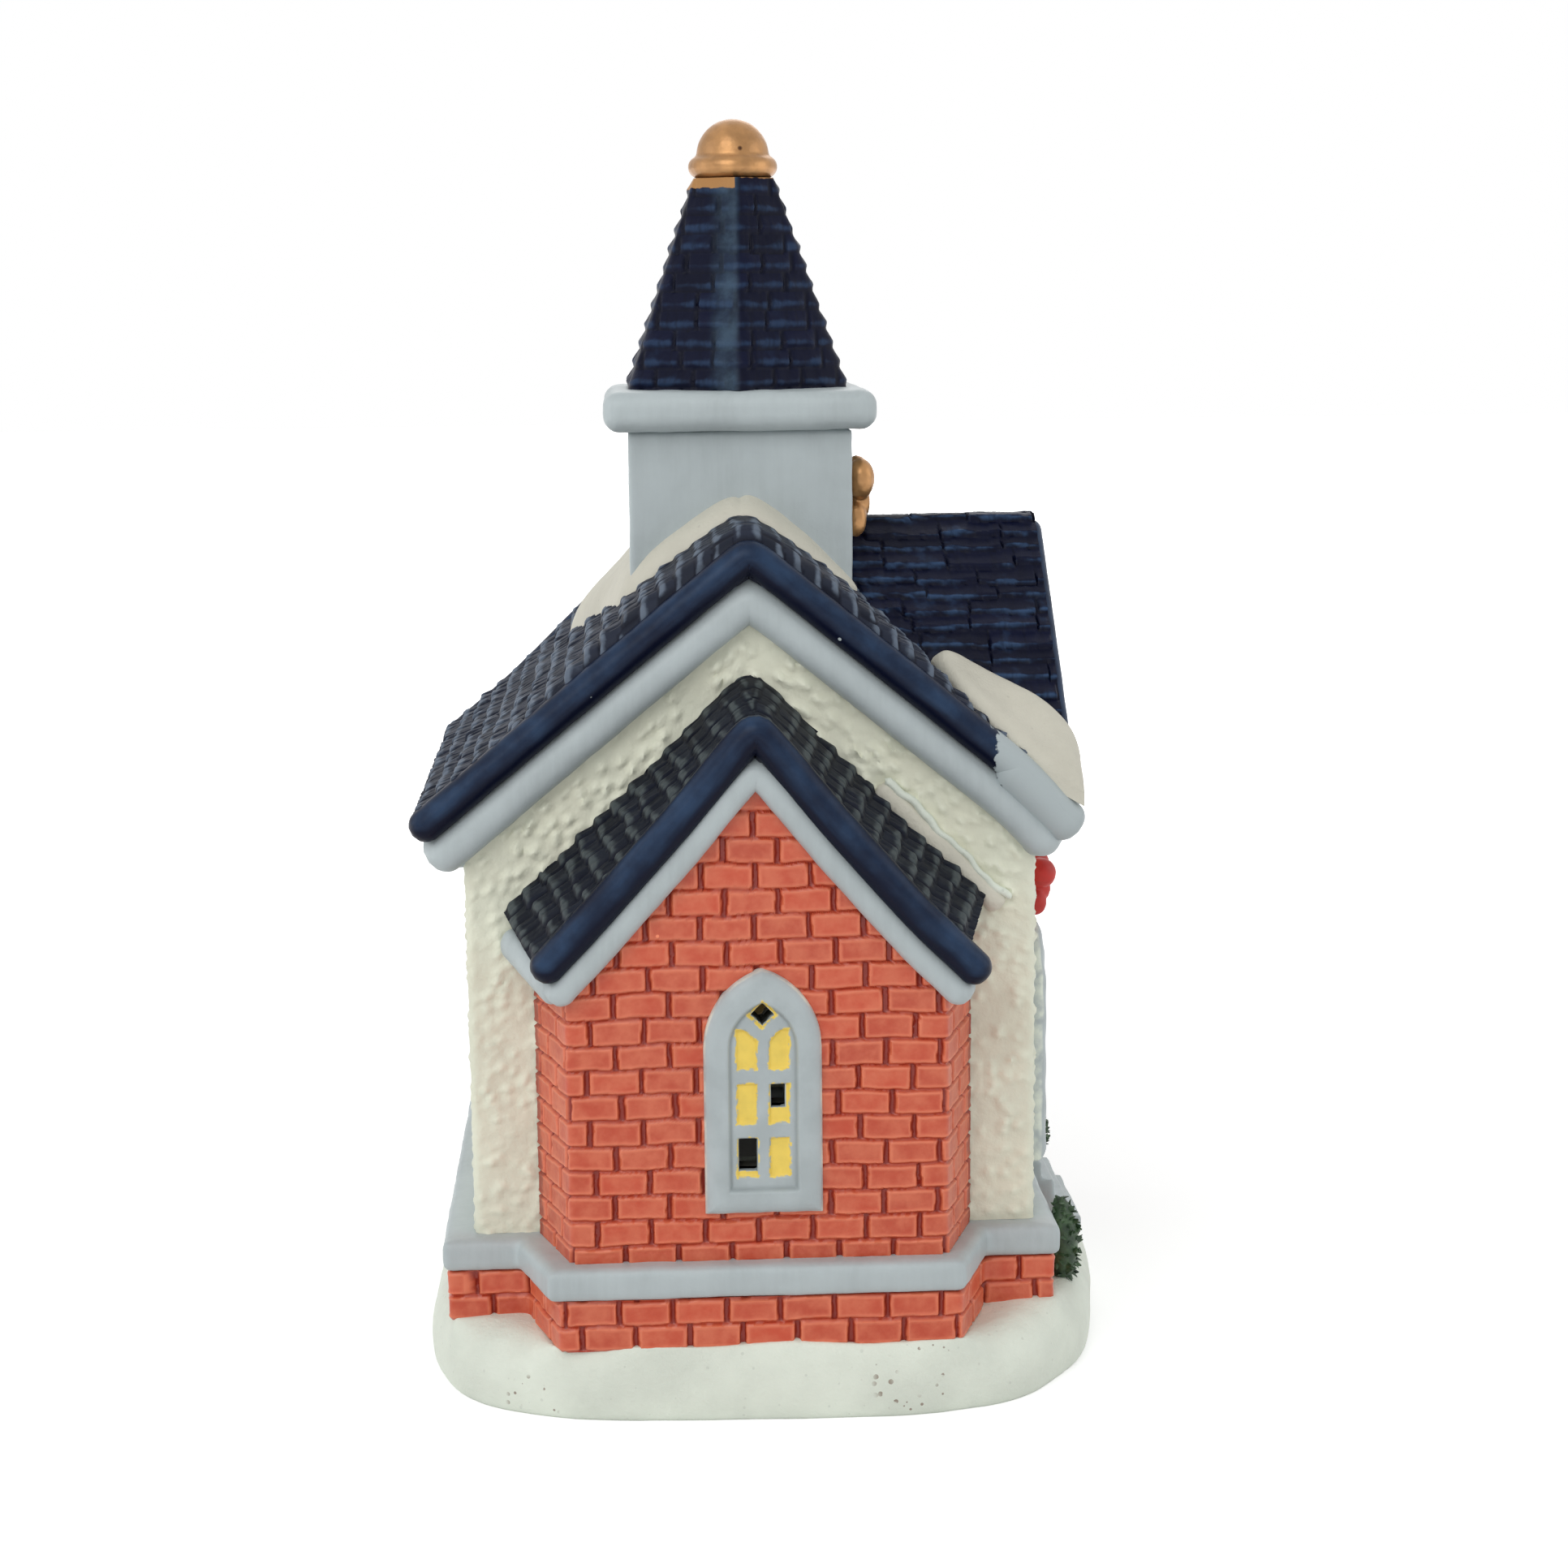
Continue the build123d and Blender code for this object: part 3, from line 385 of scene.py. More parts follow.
def group_tree(name, kind, inputs, outputs):
    """New node group: its graph, and its inputs by name. Sockets are given as names and what they carry."""
    tree = bpy.data.node_groups.new(name, kind)
    for in_out, sockets in (("OUTPUT", outputs), ("INPUT", inputs)):
        for socket, carries in sockets.items():
            tree.interface.new_socket(socket, in_out=in_out, socket_type=f"NodeSocket{carries}")
    graph = Graph(tree)
    entry = graph.node("NodeGroupInput")
    return graph, {socket.name: Wire(graph, socket) for socket in entry.outputs if socket.name}


def geometry_tree(name, *settings):
    """Empty modifier tree with a mesh, named sizes and a paint coming in, and a mesh going out."""
    inputs = {"Geometry": "Geometry", **dict.fromkeys(settings, "Float"), "Finish": "Material"}
    return group_tree(name, "GeometryNodeTree", inputs, {"Geometry": "Geometry"})


def attribute(graph, name, kind="FLOAT"):
    return graph.wire("GeometryNodeInputNamedAttribute", "Attribute", {"Name": name}, data_type=kind)


def keep(graph, geometry, name, value):
    """Geometry with a value stored on its points, for the paint to read."""
    return graph.wire("GeometryNodeStoreNamedAttribute", "Geometry", {
        "Geometry": geometry, "Name": name, "Value": value}, data_type="FLOAT", domain="POINT")


def close_tree(graph, geometry, finish, **kept):
    """Ends a tree with plain geometry that carries its paint, and the values that are kept for it."""
    for name, value in kept.items():
        geometry = keep(graph, geometry, name, value)
    plain = graph.wire("GeometryNodeRealizeInstances", "Geometry", {"Geometry": geometry})
    return graph.give(Geometry=graph.wire(
        "GeometryNodeSetMaterial", "Geometry", {"Geometry": plain, "Material": finish}))


def moved(graph, geometry, direction, distance):
    """Geometry moved along a direction, by millimetres."""
    offset = graph.wire("ShaderNodeVectorMath", 0, {"Vector": direction, "Scale": distance * MM},
                        operation="SCALE")
    return graph.wire("GeometryNodeSetPosition", "Geometry", {"Geometry": geometry, "Offset": offset})


def pushed(graph, given, height):
    """The mesh that comes in, moved out along its stored direction, by millimetres."""
    return moved(graph, given["Geometry"], attribute(graph, "out", "FLOAT_VECTOR"), height)


def brick_tree():
    """Running bond with soft, uneven bricks, pressed into a sheet that knows its run and rise."""
    graph, given = geometry_tree(
        "Brick relief", "Course", "First Joint", "Brick", "Bed Joint", "Cross Joint", "Relief", "Bevel",
        "Seed")
    course, brick, bevel, seed = [given[name] for name in ("Course", "Brick", "Bevel", "Seed")]
    run, rise = attribute(graph, "run"), attribute(graph, "rise")
    place = graph.vector(run, rise, seed)
    drift = graph.ripple(place, 0.09)
    waver = graph.ripple(graph.vector(rise, run, seed), 0.45)
    level = (rise - given["First Joint"] + drift * 1.2 + waver * 0.35) / course
    row = graph.floor(level)
    up = (level - row) * course
    shift = graph.math("FLOORED_MODULO", row, 2.0) * 0.5 + graph.chance(row, seed) * 0.22
    along = (run + waver * 0.5) / brick + shift
    column = graph.floor(along)
    across = (along - column) * brick
    lean = graph.chance(column, row, seed)
    narrow = graph.chance(row, column, 3.0) * 0.5
    bed = graph.least(up, course - up) - given["Bed Joint"] / 2
    cross = graph.least(across, brick - across) - given["Cross Joint"] / 2 - narrow * 0.3
    on_bed = graph.smooth(bed, 0.0, bevel)
    on_cross = graph.smooth(cross, 0.0, bevel)
    near = graph.least(bed, cross)
    rim = on_bed * on_cross * (1.0 - graph.smooth(near, bevel * 0.8, bevel * 2.4))
    tilt = (lean - 0.5) * (up / course - 0.5) * 0.3
    level = on_cross * (0.45 + 0.55 * on_bed) * (0.86 + lean * 0.14 + tilt) + rim * 0.14
    height = given["Relief"] * (level - 1.0) + graph.ripple(place, 0.9, 3.0) * 0.16
    return close_tree(graph, pushed(graph, given, height * attribute(graph, "press")), given["Finish"],
                      joint=1.0 - on_cross, bed=1.0 - on_bed, rim=rim, tone=lean)


def shingle_tree():
    """Courses of overlapping shingles with ragged lower edges and grain that runs down the slope."""
    graph, given = geometry_tree(
        "Shingle relief", "Course", "Width", "Butt", "Lip", "Joint", "Ragged", "Grain", "Brushed", "Seed")
    course, width, joint, seed = [given[name] for name in ("Course", "Width", "Joint", "Seed")]
    run, rise = attribute(graph, "run"), attribute(graph, "rise")

    def shingle(row):
        """Number of the shingle in its row, and how far across it a point lies."""
        bend = graph.ripple(graph.vector(run / width, row * 3.7, seed), 0.8)
        along = run / width + graph.chance(row, seed) * 5.0 + bend * 0.7
        column = graph.floor(along)
        return column, along - column

    def edge(row):
        """How far a row's lower edge lies above its line."""
        swing = graph.ripple(graph.vector(run * 0.16, row * 5.1, seed), 1.6)
        own = graph.chance(shingle(row)[0], row, seed)
        return course * graph.most(given["Ragged"] * (own + swing * 1.4), 0.0)

    first = graph.floor(rise / course)
    row = first - (rise - first * course < edge(first))
    up = (rise - row * course - edge(row)) / course
    column, across = shingle(row)
    own = graph.chance(row, column, seed)
    twist = graph.chance(column, seed, row)
    beside = graph.least(across, 1.0 - across) * width
    gap = 1.0 - graph.smooth(beside, joint * 0.35, joint * 1.3)
    lip = graph.smooth(up, 0.0, given["Lip"])
    slope = 1.0 - graph.least(up, 1.0)
    lift = lip * (slope * (0.7 + own * 0.6) + (across - 0.5) * (twist - 0.5) * 0.55 * slope)
    grain = graph.ripple(graph.vector(run * 1.5, rise * 0.12 + row * 3.0, seed), 1.0)
    hollow = graph.ripple(graph.vector(run, rise, seed), 0.4)
    height = given["Butt"] * (lift * (1.0 - gap * 0.6) - gap * 0.2)
    height = height + grain * given["Grain"] * 2.0 + hollow * 0.3
    # worn is the band up from each shingle's lower edge that takes the dry brushing and the painted
    # highlight.
    worn = 1.0 - graph.smooth(up, given["Brushed"] * 0.35, given["Brushed"])
    return close_tree(graph, pushed(graph, given, height * attribute(graph, "press")), given["Finish"],
                      crest=lip * worn * (1.0 - gap), tone=own,
                      # joint holds the real gaps between shingles, and a painted shadow along the foot of
                      # each course.
                      joint=graph.most(gap, 1.0 - graph.smooth(up, 0.0, 0.2)),
                      furrow=1.0 - graph.smooth(grain, -0.18, 0.02))


def stucco_tree():
    """Render with pebbles and dents, rougher where the press is full."""
    graph, given = geometry_tree("Stucco relief", "Pebble", "Pebble Size", "Seed")
    run, rise, press = [attribute(graph, name) for name in ("run", "rise", "press")]
    place = graph.vector(run, rise, given["Seed"])
    warped = graph.vector(run + graph.noise(place, 0.5) * 1.6, rise, given["Seed"])
    cell = graph.node("ShaderNodeTexVoronoi", {
        "Vector": warped, "Scale": 1.0 / given["Pebble Size"], "Smoothness": 0.35}, feature="SMOOTH_F1")
    distance = Wire(graph, cell.outputs["Distance"])
    own = graph.split(Wire(graph, cell.outputs["Color"]))[0]
    patch = graph.smooth(graph.noise(place, 0.07), 0.38, 0.6)
    stone = (1.0 - graph.smooth(distance, 0.05, 0.6)) * graph.smooth(own, 0.05, 0.35)
    crest = stone * (press * (0.7 + 0.3 * patch))
    fine = graph.ripple(place, 1.5, 3.0) * 0.5 * press
    height = given["Pebble"] * (crest + fine) + graph.ripple(place, 0.22) * 0.5
    sheet = pushed(graph, given, height - given["Pebble"] * 0.3)
    # crest is the pebbles' height, kept for the painted highlight on their tops.
    return close_tree(graph, sheet, given["Finish"], crest=crest)


def uneven(graph, geometry, given):
    """Skin moved in and out by the soft dents of hand work."""
    place = graph.wire("GeometryNodeInputPosition", "Position")
    normal = graph.wire("GeometryNodeInputNormal", "Normal")
    shift = graph.vector(given["Seed"])
    seeded = graph.wire("ShaderNodeVectorMath", 0, {0: place, 1: shift}, operation="ADD")
    broad = graph.ripple(seeded, 1.0 / (given["Wave"] * MM))
    small = graph.ripple(seeded, 3.7 / (given["Wave"] * MM))
    return moved(graph, geometry, normal, (broad * 2.0 + small * 0.5) * given["Wobble"])


def clay_tree():
    """Uneven hand finish of a softened casting."""
    graph, given = geometry_tree("Hand finish", "Wobble", "Wave", "Seed")
    return close_tree(graph, uneven(graph, given["Geometry"], given), given["Finish"])


def roll_tree():
    """Bar along each line of a mesh of bare edges, with rounded ends and an uneven skin.

    Edge is 1 for a round bar, and less the squarer the bar is. Lean thins its lower half down to the foot."""
    graph, given = geometry_tree(
        "Clay roll", "Half Thick", "Half Deep", "Edge", "Lean", "Wobble", "Wave", "Seed")
    curve = graph.wire("GeometryNodeMeshToCurve", "Curve", {"Mesh": given["Geometry"]})
    curve = graph.wire("GeometryNodeResampleCurve", "Curve", {"Curve": curve, "Length": ROLL_STEP * MM},
                       mode="LENGTH")
    curve = graph.wire("GeometryNodeSetCurveNormal", "Curve", {"Curve": curve}, mode="Z_UP")
    run = graph.wire("GeometryNodeSplineParameter", "Length") / MM
    whole = graph.wire("GeometryNodeSplineLength", "Length") / MM
    curve = keep(graph, curve, "run", run)
    cap = 1.0 - graph.least(graph.least(run, whole - run) / given["Half Thick"], 1.0)
    girth = graph.math("SQRT", graph.most(1.0 - cap * cap, 0.001))
    profile = graph.wire("GeometryNodeCurvePrimitiveCircle", "Curve", {
        "Resolution": ROLL_SIDES, "Radius": MM})
    turn = graph.wire("GeometryNodeInputIndex", "Index") * (2 * pi / ROLL_SIDES)
    under = graph.smooth(graph.math("SINE", turn) * -1.0, 0.0, 1.0)
    corner = []
    for name, operation, half in (("turn_x", "COSINE", "Half Thick"), ("turn_y", "SINE", "Half Deep")):
        share = graph.math(operation, turn)
        profile = keep(graph, profile, name, share)
        size = graph.math("POWER", graph.math("ABSOLUTE", share), given["Edge"])
        corner.append(graph.math("SIGN", share) * size * given[half] * MM)
    corner[0] = corner[0] * (1.0 - under * given["Lean"])
    profile = graph.wire("GeometryNodeSetPosition", "Geometry", {
        "Geometry": profile, "Position": graph.vector(*corner)})
    tube = graph.wire("GeometryNodeCurveToMesh", "Mesh", {
        "Curve": curve, "Profile Curve": profile, "Scale": girth, "Fill Caps": True})
    upward = graph.split(graph.wire("GeometryNodeInputNormal", "Normal"))[2]
    tube = keep(graph, tube, "upward", upward)
    return close_tree(graph, uneven(graph, tube, given), given["Finish"])


def leaf_tree():
    """Small folded leaves scattered over a mound of greenery."""
    graph, given = geometry_tree("Leaf cover", "Leaf Length", "Spacing")
    points = graph.node("GeometryNodeDistributePointsOnFaces", {
        "Mesh": given["Geometry"], "Distance Min": given["Spacing"] * MM, "Density Max": 900000.0,
        "Seed": LEAF_SEED}, distribute_method="POISSON")
    blade = graph.wire("GeometryNodeMeshCone", "Mesh", {
        "Vertices": 4, "Side Segments": 2, "Radius Top": 0.0001, "Radius Bottom": 0.00045,
        "Depth": 1.0}, fill_type="TRIANGLE_FAN")
    shaped = graph.wire("GeometryNodeTransform", "Geometry", {
        "Geometry": blade, "Scale": graph.vector(1.2, 0.55, given["Leaf Length"] * MM)})
    tumble = graph.wire("FunctionNodeRandomValue", 0, {
        0: (-0.9, -0.9, -3.1), 1: (0.9, 0.9, 3.1), "Seed": TUMBLE_SEED}, data_type="FLOAT_VECTOR")
    turned = graph.wire("FunctionNodeRotateRotation", 0, {
        "Rotation": Wire(graph, points.outputs["Rotation"]), "Rotate By": tumble}, rotation_space="LOCAL")
    leaves = graph.wire("GeometryNodeInstanceOnPoints", "Instances", {
        "Points": Wire(graph, points.outputs["Points"]), "Instance": shaped, "Rotation": turned})
    both = graph.node("GeometryNodeJoinGeometry")
    for geometry in (given["Geometry"], leaves):
        graph.feed(both.inputs[0], geometry)
    return close_tree(graph, Wire(graph, both.outputs[0]), given["Finish"])


TREES = {}


def shared_tree(build):
    """Each tree is built once."""
    if build not in TREES:
        TREES[build] = build()
    return TREES[build]


# Meshes


def placed(points):
    """House millimetres as scene metres."""
    return (np.asarray(points, float) + (HOUSE_X, HOUSE_Y, 0)) * MM


def store(mesh, name, values):
    """Puts values on a mesh's points."""
    values = np.asarray(values, np.float32)
    kind, field = ("FLOAT_VECTOR", "vector") if values.ndim == 2 else ("FLOAT", "value")
    mesh.attributes.new(name, kind, "POINT").data.foreach_set(field, values.ravel())


def stored(mesh, name):
    """Values that lie on a mesh's points."""
    values = np.empty(len(mesh.vertices), np.float32)
    mesh.attributes[name].data.foreach_get("value", values)
    return values


def house_points(mesh):
    """A mesh's points in house millimetres."""
    flat = np.empty(len(mesh.vertices) * 3, np.float32)
    mesh.vertices.foreach_get("co", flat)
    return flat.reshape(-1, 3) / MM - (HOUSE_X, HOUSE_Y, 0)


def set_points(mesh, points):
    """Moves a mesh's points to places in house millimetres."""
    mesh.vertices.foreach_set("co", placed(points).astype(np.float32).ravel())


def mesh_of(name, points, edges, faces):
    """Mesh over places in house millimetres."""
    mesh = bpy.data.meshes.new(name)
    mesh.from_pydata(placed(points).tolist(), edges, faces)
    return mesh


def linked(name, data):
    """New object in the scene."""
    made = bpy.data.objects.new(name, data)
    bpy.context.scene.collection.objects.link(made)
    return made


def evaluated(mesh, fit):
    """Mesh after the modifiers that fit() puts on a passing object."""
    bench = linked("bench", mesh)
    fit(bench)
    graph = bpy.context.evaluated_depsgraph_get()
    made = bpy.data.meshes.new_from_object(bench.evaluated_get(graph), depsgraph=graph)
    bpy.data.objects.remove(bench)
    bpy.data.meshes.remove(mesh)
    return made


def tree_step(bench, build, **values):
    """Puts a tree on an object with its named inputs set."""
    tree = shared_tree(build)
    modifier = bench.modifiers.new(tree.name, "NODES")
    modifier.node_group = tree
    identifiers = {socket.name: socket.identifier for socket in tree.interface.items_tree
                   if socket.in_out == "INPUT"}
    for name, value in values.items():
        modifier[identifiers[socket_name(name)]] = value


def pressed(mesh, build, **values):
    """Mesh after a tree with its named inputs set."""
    return evaluated(mesh, lambda bench: tree_step(bench, build, **values))


def shown(name, mesh, node, crease=60):
    """Finished piece of the house, standing for its CAD node."""
    mesh.name = name
    mesh.shade_smooth()
    mesh.set_sharp_from_angle(angle=radians(crease))
    piece = linked(name, mesh)
    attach(piece, "house")
    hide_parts(node)


def lobe(share):
    """Rounded rise from 0 at an edge to 1 at a share of 1."""
    return np.sqrt(1 - (1 - np.clip(share, 0, 1)) ** 2)


def eased(value, width):
    """0 below zero, 1 past a width, soft between."""
    share = np.clip(value / width, 0, 1)
    return share * share * (3 - 2 * share)


def raised(plan, level):
    """Places over a plan at their levels."""
    return np.concatenate([plan, np.broadcast_to(level, plan.shape[:-1])[..., None]], -1)


def line_of(x, y, z):
    """Places along a line, from coordinates that may be the same all along it."""
    return np.stack(np.broadcast_arrays(x, y, z), 1)


def rounded_path(corners, radius, step, closed=True):
    """Even points along a plan outline with softened corners: places, outward directions, distance run."""
    corners = [np.array(corner, float) for corner in corners]
    points = []
    for index, corner in enumerate(corners):
        if not closed and index in (0, len(corners) - 1):
            points.append(corner)
            continue
        before = corners[index - 1] - corner
        after = corners[(index + 1) % len(corners)] - corner
        reach = min(radius, 0.45 * np.linalg.norm(before), 0.45 * np.linalg.norm(after))
        start = corner + before / np.linalg.norm(before) * reach
        end = corner + after / np.linalg.norm(after) * reach
        for share in np.linspace(0, 1, 9):
            points.append((1 - share) ** 2 * start + 2 * share * (1 - share) * corner + share ** 2 * end)
    if closed:
        points.append(points[0])
    points = np.array(points)
    lengths = np.concatenate([[0], np.cumsum(np.linalg.norm(np.diff(points, axis=0), axis=1))])
    count = max(int(lengths[-1] / step), 8)
    run = np.linspace(0, lengths[-1], count, endpoint=not closed)
    path = np.stack([np.interp(run, lengths, points[:, axis]) for axis in (0, 1)], 1)
    if closed:
        along = np.roll(path, -1, 0) - np.roll(path, 1, 0)
    else:
        along = np.gradient(path, axis=0)
    along /= np.linalg.norm(along, axis=1, keepdims=True)
    return path, np.stack([along[:, 1], -along[:, 0]], 1), run


def column_solid(name, front, inward, wrap, **fields):
    """Closed mesh with a fine front of columns by rows and a plain back, moved inward column by column.

    fields are values on the front's points. The back takes its edges' values, without a push."""
    columns, rows = front.shape[:2]
    index = np.arange(columns * rows).reshape(columns, rows)
    low = columns * rows + np.arange(columns)
    high = low + columns
    points = np.concatenate([front.reshape(-1, 3), front[:, 0] + inward, front[:, -1] + inward])
    this = np.arange(columns if wrap else columns - 1)
    after = (this + 1) % columns
    faces = np.concatenate([np.stack(corners, -1).reshape(-1, 4) for corners in (
        (index[this, :-1], index[after, :-1], index[after, 1:], index[this, 1:]),
        (index[this, 0], low[this], low[after], index[after, 0]),
        (index[this, -1], index[after, -1], high[after], high[this]),
        (low[this], high[this], high[after], low[after]))]).tolist()
    if not wrap:
        faces.append([*index[0], high[0], low[0]])
        faces.append([*index[-1][::-1], low[-1], high[-1]])
    mesh = mesh_of(name, points, [], faces)
    for field, values in fields.items():
        values = np.broadcast_to(values, (columns, rows) + np.shape(values)[2:])
        rest = np.concatenate([values[:, 0], values[:, -1]]) * (field not in ("out", "press"))
        store(mesh, field, np.concatenate([values.reshape((-1,) + values.shape[2:]), rest]))
    return mesh


def upright_wall(name, path, out, run, low, top, thickness, step, wrap, press=1.0, relief=None):
    """Sheet wall that stands on a plan path, from a level foot up to a top that changes along it.

    press is the share of the relief, or gives it from the places. relief gives how far the face lies behind
    its plane, from the run and the rise."""
    top = np.broadcast_to(top, run.shape)
    rows = max(int((top.max() - low) / step), 2) + 1
    heights = low + (top[:, None] - low) * np.linspace(0, 1, rows)
    front = raised(np.repeat(path[:, None], rows, 1), heights)
    outward = raised(out, 0.0)
    across = np.repeat(run[:, None], rows, 1)
    if relief:
        front = front - relief(across, heights - low)[..., None] * outward[:, None]
    return column_solid(name, front, -outward * thickness, wrap, run=across, rise=heights - low,
                        out=np.repeat(outward[:, None], rows, 1),
                        press=press(front) if callable(press) else press)


def rolled(name, lines, halves, wobble, coat, seed, edge=1.0, lean=0.0):
    """Bars along lines, with half a thickness and half a depth."""
    ends = np.cumsum([len(line) for line in lines])
    edges = [(k, k + 1) for k in range(ends[-1]) if k + 1 not in ends]
    return pressed(mesh_of(name, np.concatenate(lines), edges, []), roll_tree, half_thick=halves[0],
                   half_deep=halves[1], edge=edge, lean=lean, wobble=wobble, wave=ROLL_WAVE, seed=seed,
                   finish=coat)


WALLS = {                              # directions along and out of each wall
    "-Y": ((1, 0), (0, -1)), "+Y": ((-1, 0), (0, 1)), "-X": ((0, -1), (-1, 0)), "+X": ((0, 1), (1, 0))}
CUT_PAST = 3                           # how far a cut goes past both sides of the clay


def cut_out(mesh, openings):
    """Mesh with straight holes, each given by a wall, its face's place and an outline across and up."""
    points, faces = [], []
    for wall, distance, outline in openings:
        along, out = np.array(WALLS[wall])
        near = np.arange(len(outline)) + len(points)
        far = near + len(outline)
        for depth in (distance + CUT_PAST, distance - CLAY - CUT_PAST):
            points += [(*(across * along + depth * out), up) for across, up in outline]
        faces += [near.tolist(), far[::-1].tolist()]
        faces += np.stack([near, far, np.roll(far, -1), np.roll(near, -1)], 1).tolist()
    cutter_mesh = mesh_of("openings", points, [], faces)
    cutter = linked("openings", cutter_mesh)

    def fit(bench):
        cut = bench.modifiers.new("openings", "BOOLEAN")
        cut.object = cutter
        cut.operation = "DIFFERENCE"
        cut.solver = "EXACT"

    made = evaluated(mesh, fit)
    bpy.data.objects.remove(cutter)
    bpy.data.meshes.remove(cutter_mesh)
    return made


def joined(name, meshes):
    """One mesh out of several, with their fields."""
    objects = [linked(f"part{number}", mesh) for number, mesh in enumerate(meshes)]
    with bpy.context.temp_override(active_object=objects[0], selected_editable_objects=objects):
        bpy.ops.object.join()
    mesh = objects[0].data
    mesh.name = name
    bpy.data.objects.remove(objects[0])
    return mesh


def recast(mesh, voxel, rounding, wobble, wave, coat, seed):
    """Mesh as one skin with soft edges and uneven faces, as cast and fired clay is."""
    def fit(bench):
        weld = bench.modifiers.new("weld", "WELD")
        weld.merge_threshold = 0.00001
        remesh = bench.modifiers.new("remesh", "REMESH")
        remesh.mode = "VOXEL"
        remesh.voxel_size = voxel * MM
        smooth = bench.modifiers.new("soften", "SMOOTH")
        smooth.factor = 0.5
        smooth.iterations = rounding
        tree_step(bench, clay_tree, wobble=wobble, wave=wave, seed=seed, finish=coat)

    return evaluated(mesh, fit)


def softened(node, *casting, stretch=1.0):
    """Copy of a CAD node, recast. stretch changes how far it stands out of the front wall."""
    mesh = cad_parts[node].data.copy()
    mesh.materials.clear()
    if stretch != 1.0:
        points = house_points(mesh)
        points[:, 0] = WALL_X + (points[:, 0] - WALL_X) * stretch
        set_points(mesh, points)
    return recast(mesh, *casting)


def bow_mesh(name, places, wall, plump, taller):
    """Ribbon bow of soft lobes over the points of a plainer one on a front wall."""
    (_, left, foot), (out, right, top) = places.min(0), places.max(0)
    size = np.array([(out - wall) * plump, (right - left) / 2, (top - foot) * taller])
    shape = bmesh.new()
    for *middle, in_out, aside, up in BOW:
        for hand in (-1, 1):
            place = np.array([wall, (left + right) / 2, foot]) + size * middle * (1, hand, 1)
            bmesh.ops.create_icosphere(shape, subdivisions=3, radius=1.0, matrix=Matrix.LocRotScale(
                placed(place).tolist(), None, (size * (in_out, aside, up) * MM).tolist()))
    mesh = bpy.data.meshes.new(name)
    shape.to_mesh(mesh)
    shape.free()
    return mesh


# Paints


def mottle_group():
    """Cloudy change of tone, with brush marks drawn out along one direction."""
    graph, given = group_tree(
        "Mottled paint", "ShaderNodeTree", {"Place": "Vector", "Cloud Size": "Float", "Stroke": "Vector"},
        {"Cloud": "Float", "Brush": "Float"})
    cloud = graph.noise(given["Place"], 1.0 / (given["Cloud Size"] * MM), 4.0, 0.55)
    brush = graph.noise(graph.stretch(given["Place"], given["Stroke"]), 1.0, 3.0, 0.6)
    return graph.give(Cloud=graph.smooth(cloud, 0.3, 0.7), Brush=graph.smooth(brush, 0.3, 0.7))


def speck_group():
    """Scattered small specks: bubbles, grit and chips in the glaze."""
    graph, given = group_tree(
        "Specks", "ShaderNodeTree",
        {"Place": "Vector", "Spacing": "Float", "Size": "Float", "Share": "Float"}, {"Speck": "Float"})
    cell = graph.node("ShaderNodeTexVoronoi", {
        "Vector": given["Place"], "Scale": 1.0 / (given["Spacing"] * MM)})
    chosen, sized, _ = graph.split(Wire(graph, cell.outputs["Color"]))
    size = given["Size"] / given["Spacing"] * (0.4 + sized * 0.6)
    inside = 1.0 - graph.smooth(Wire(graph, cell.outputs["Distance"]) / size, 0.6, 1.0)
    return graph.give(Speck=inside * (chosen < given["Share"]))


def grain_group():
    """Fine relief of fired clay under glaze."""
    graph, given = group_tree(
        "Clay grain", "ShaderNodeTree", {"Place": "Vector", "Grain Size": "Float"}, {"Height": "Float"})
    fine = graph.noise(given["Place"], 1.0 / (given["Grain Size"] * MM), 3.0, 0.6)
    broad = graph.noise(given["Place"], 0.2 / (given["Grain Size"] * MM))
    return graph.give(Height=fine * 0.6 + broad * 0.9)


def tinted(colour, factor):
    """Colour made darker or lighter."""
    return tuple(min(channel * factor, 1.0) for channel in colour)


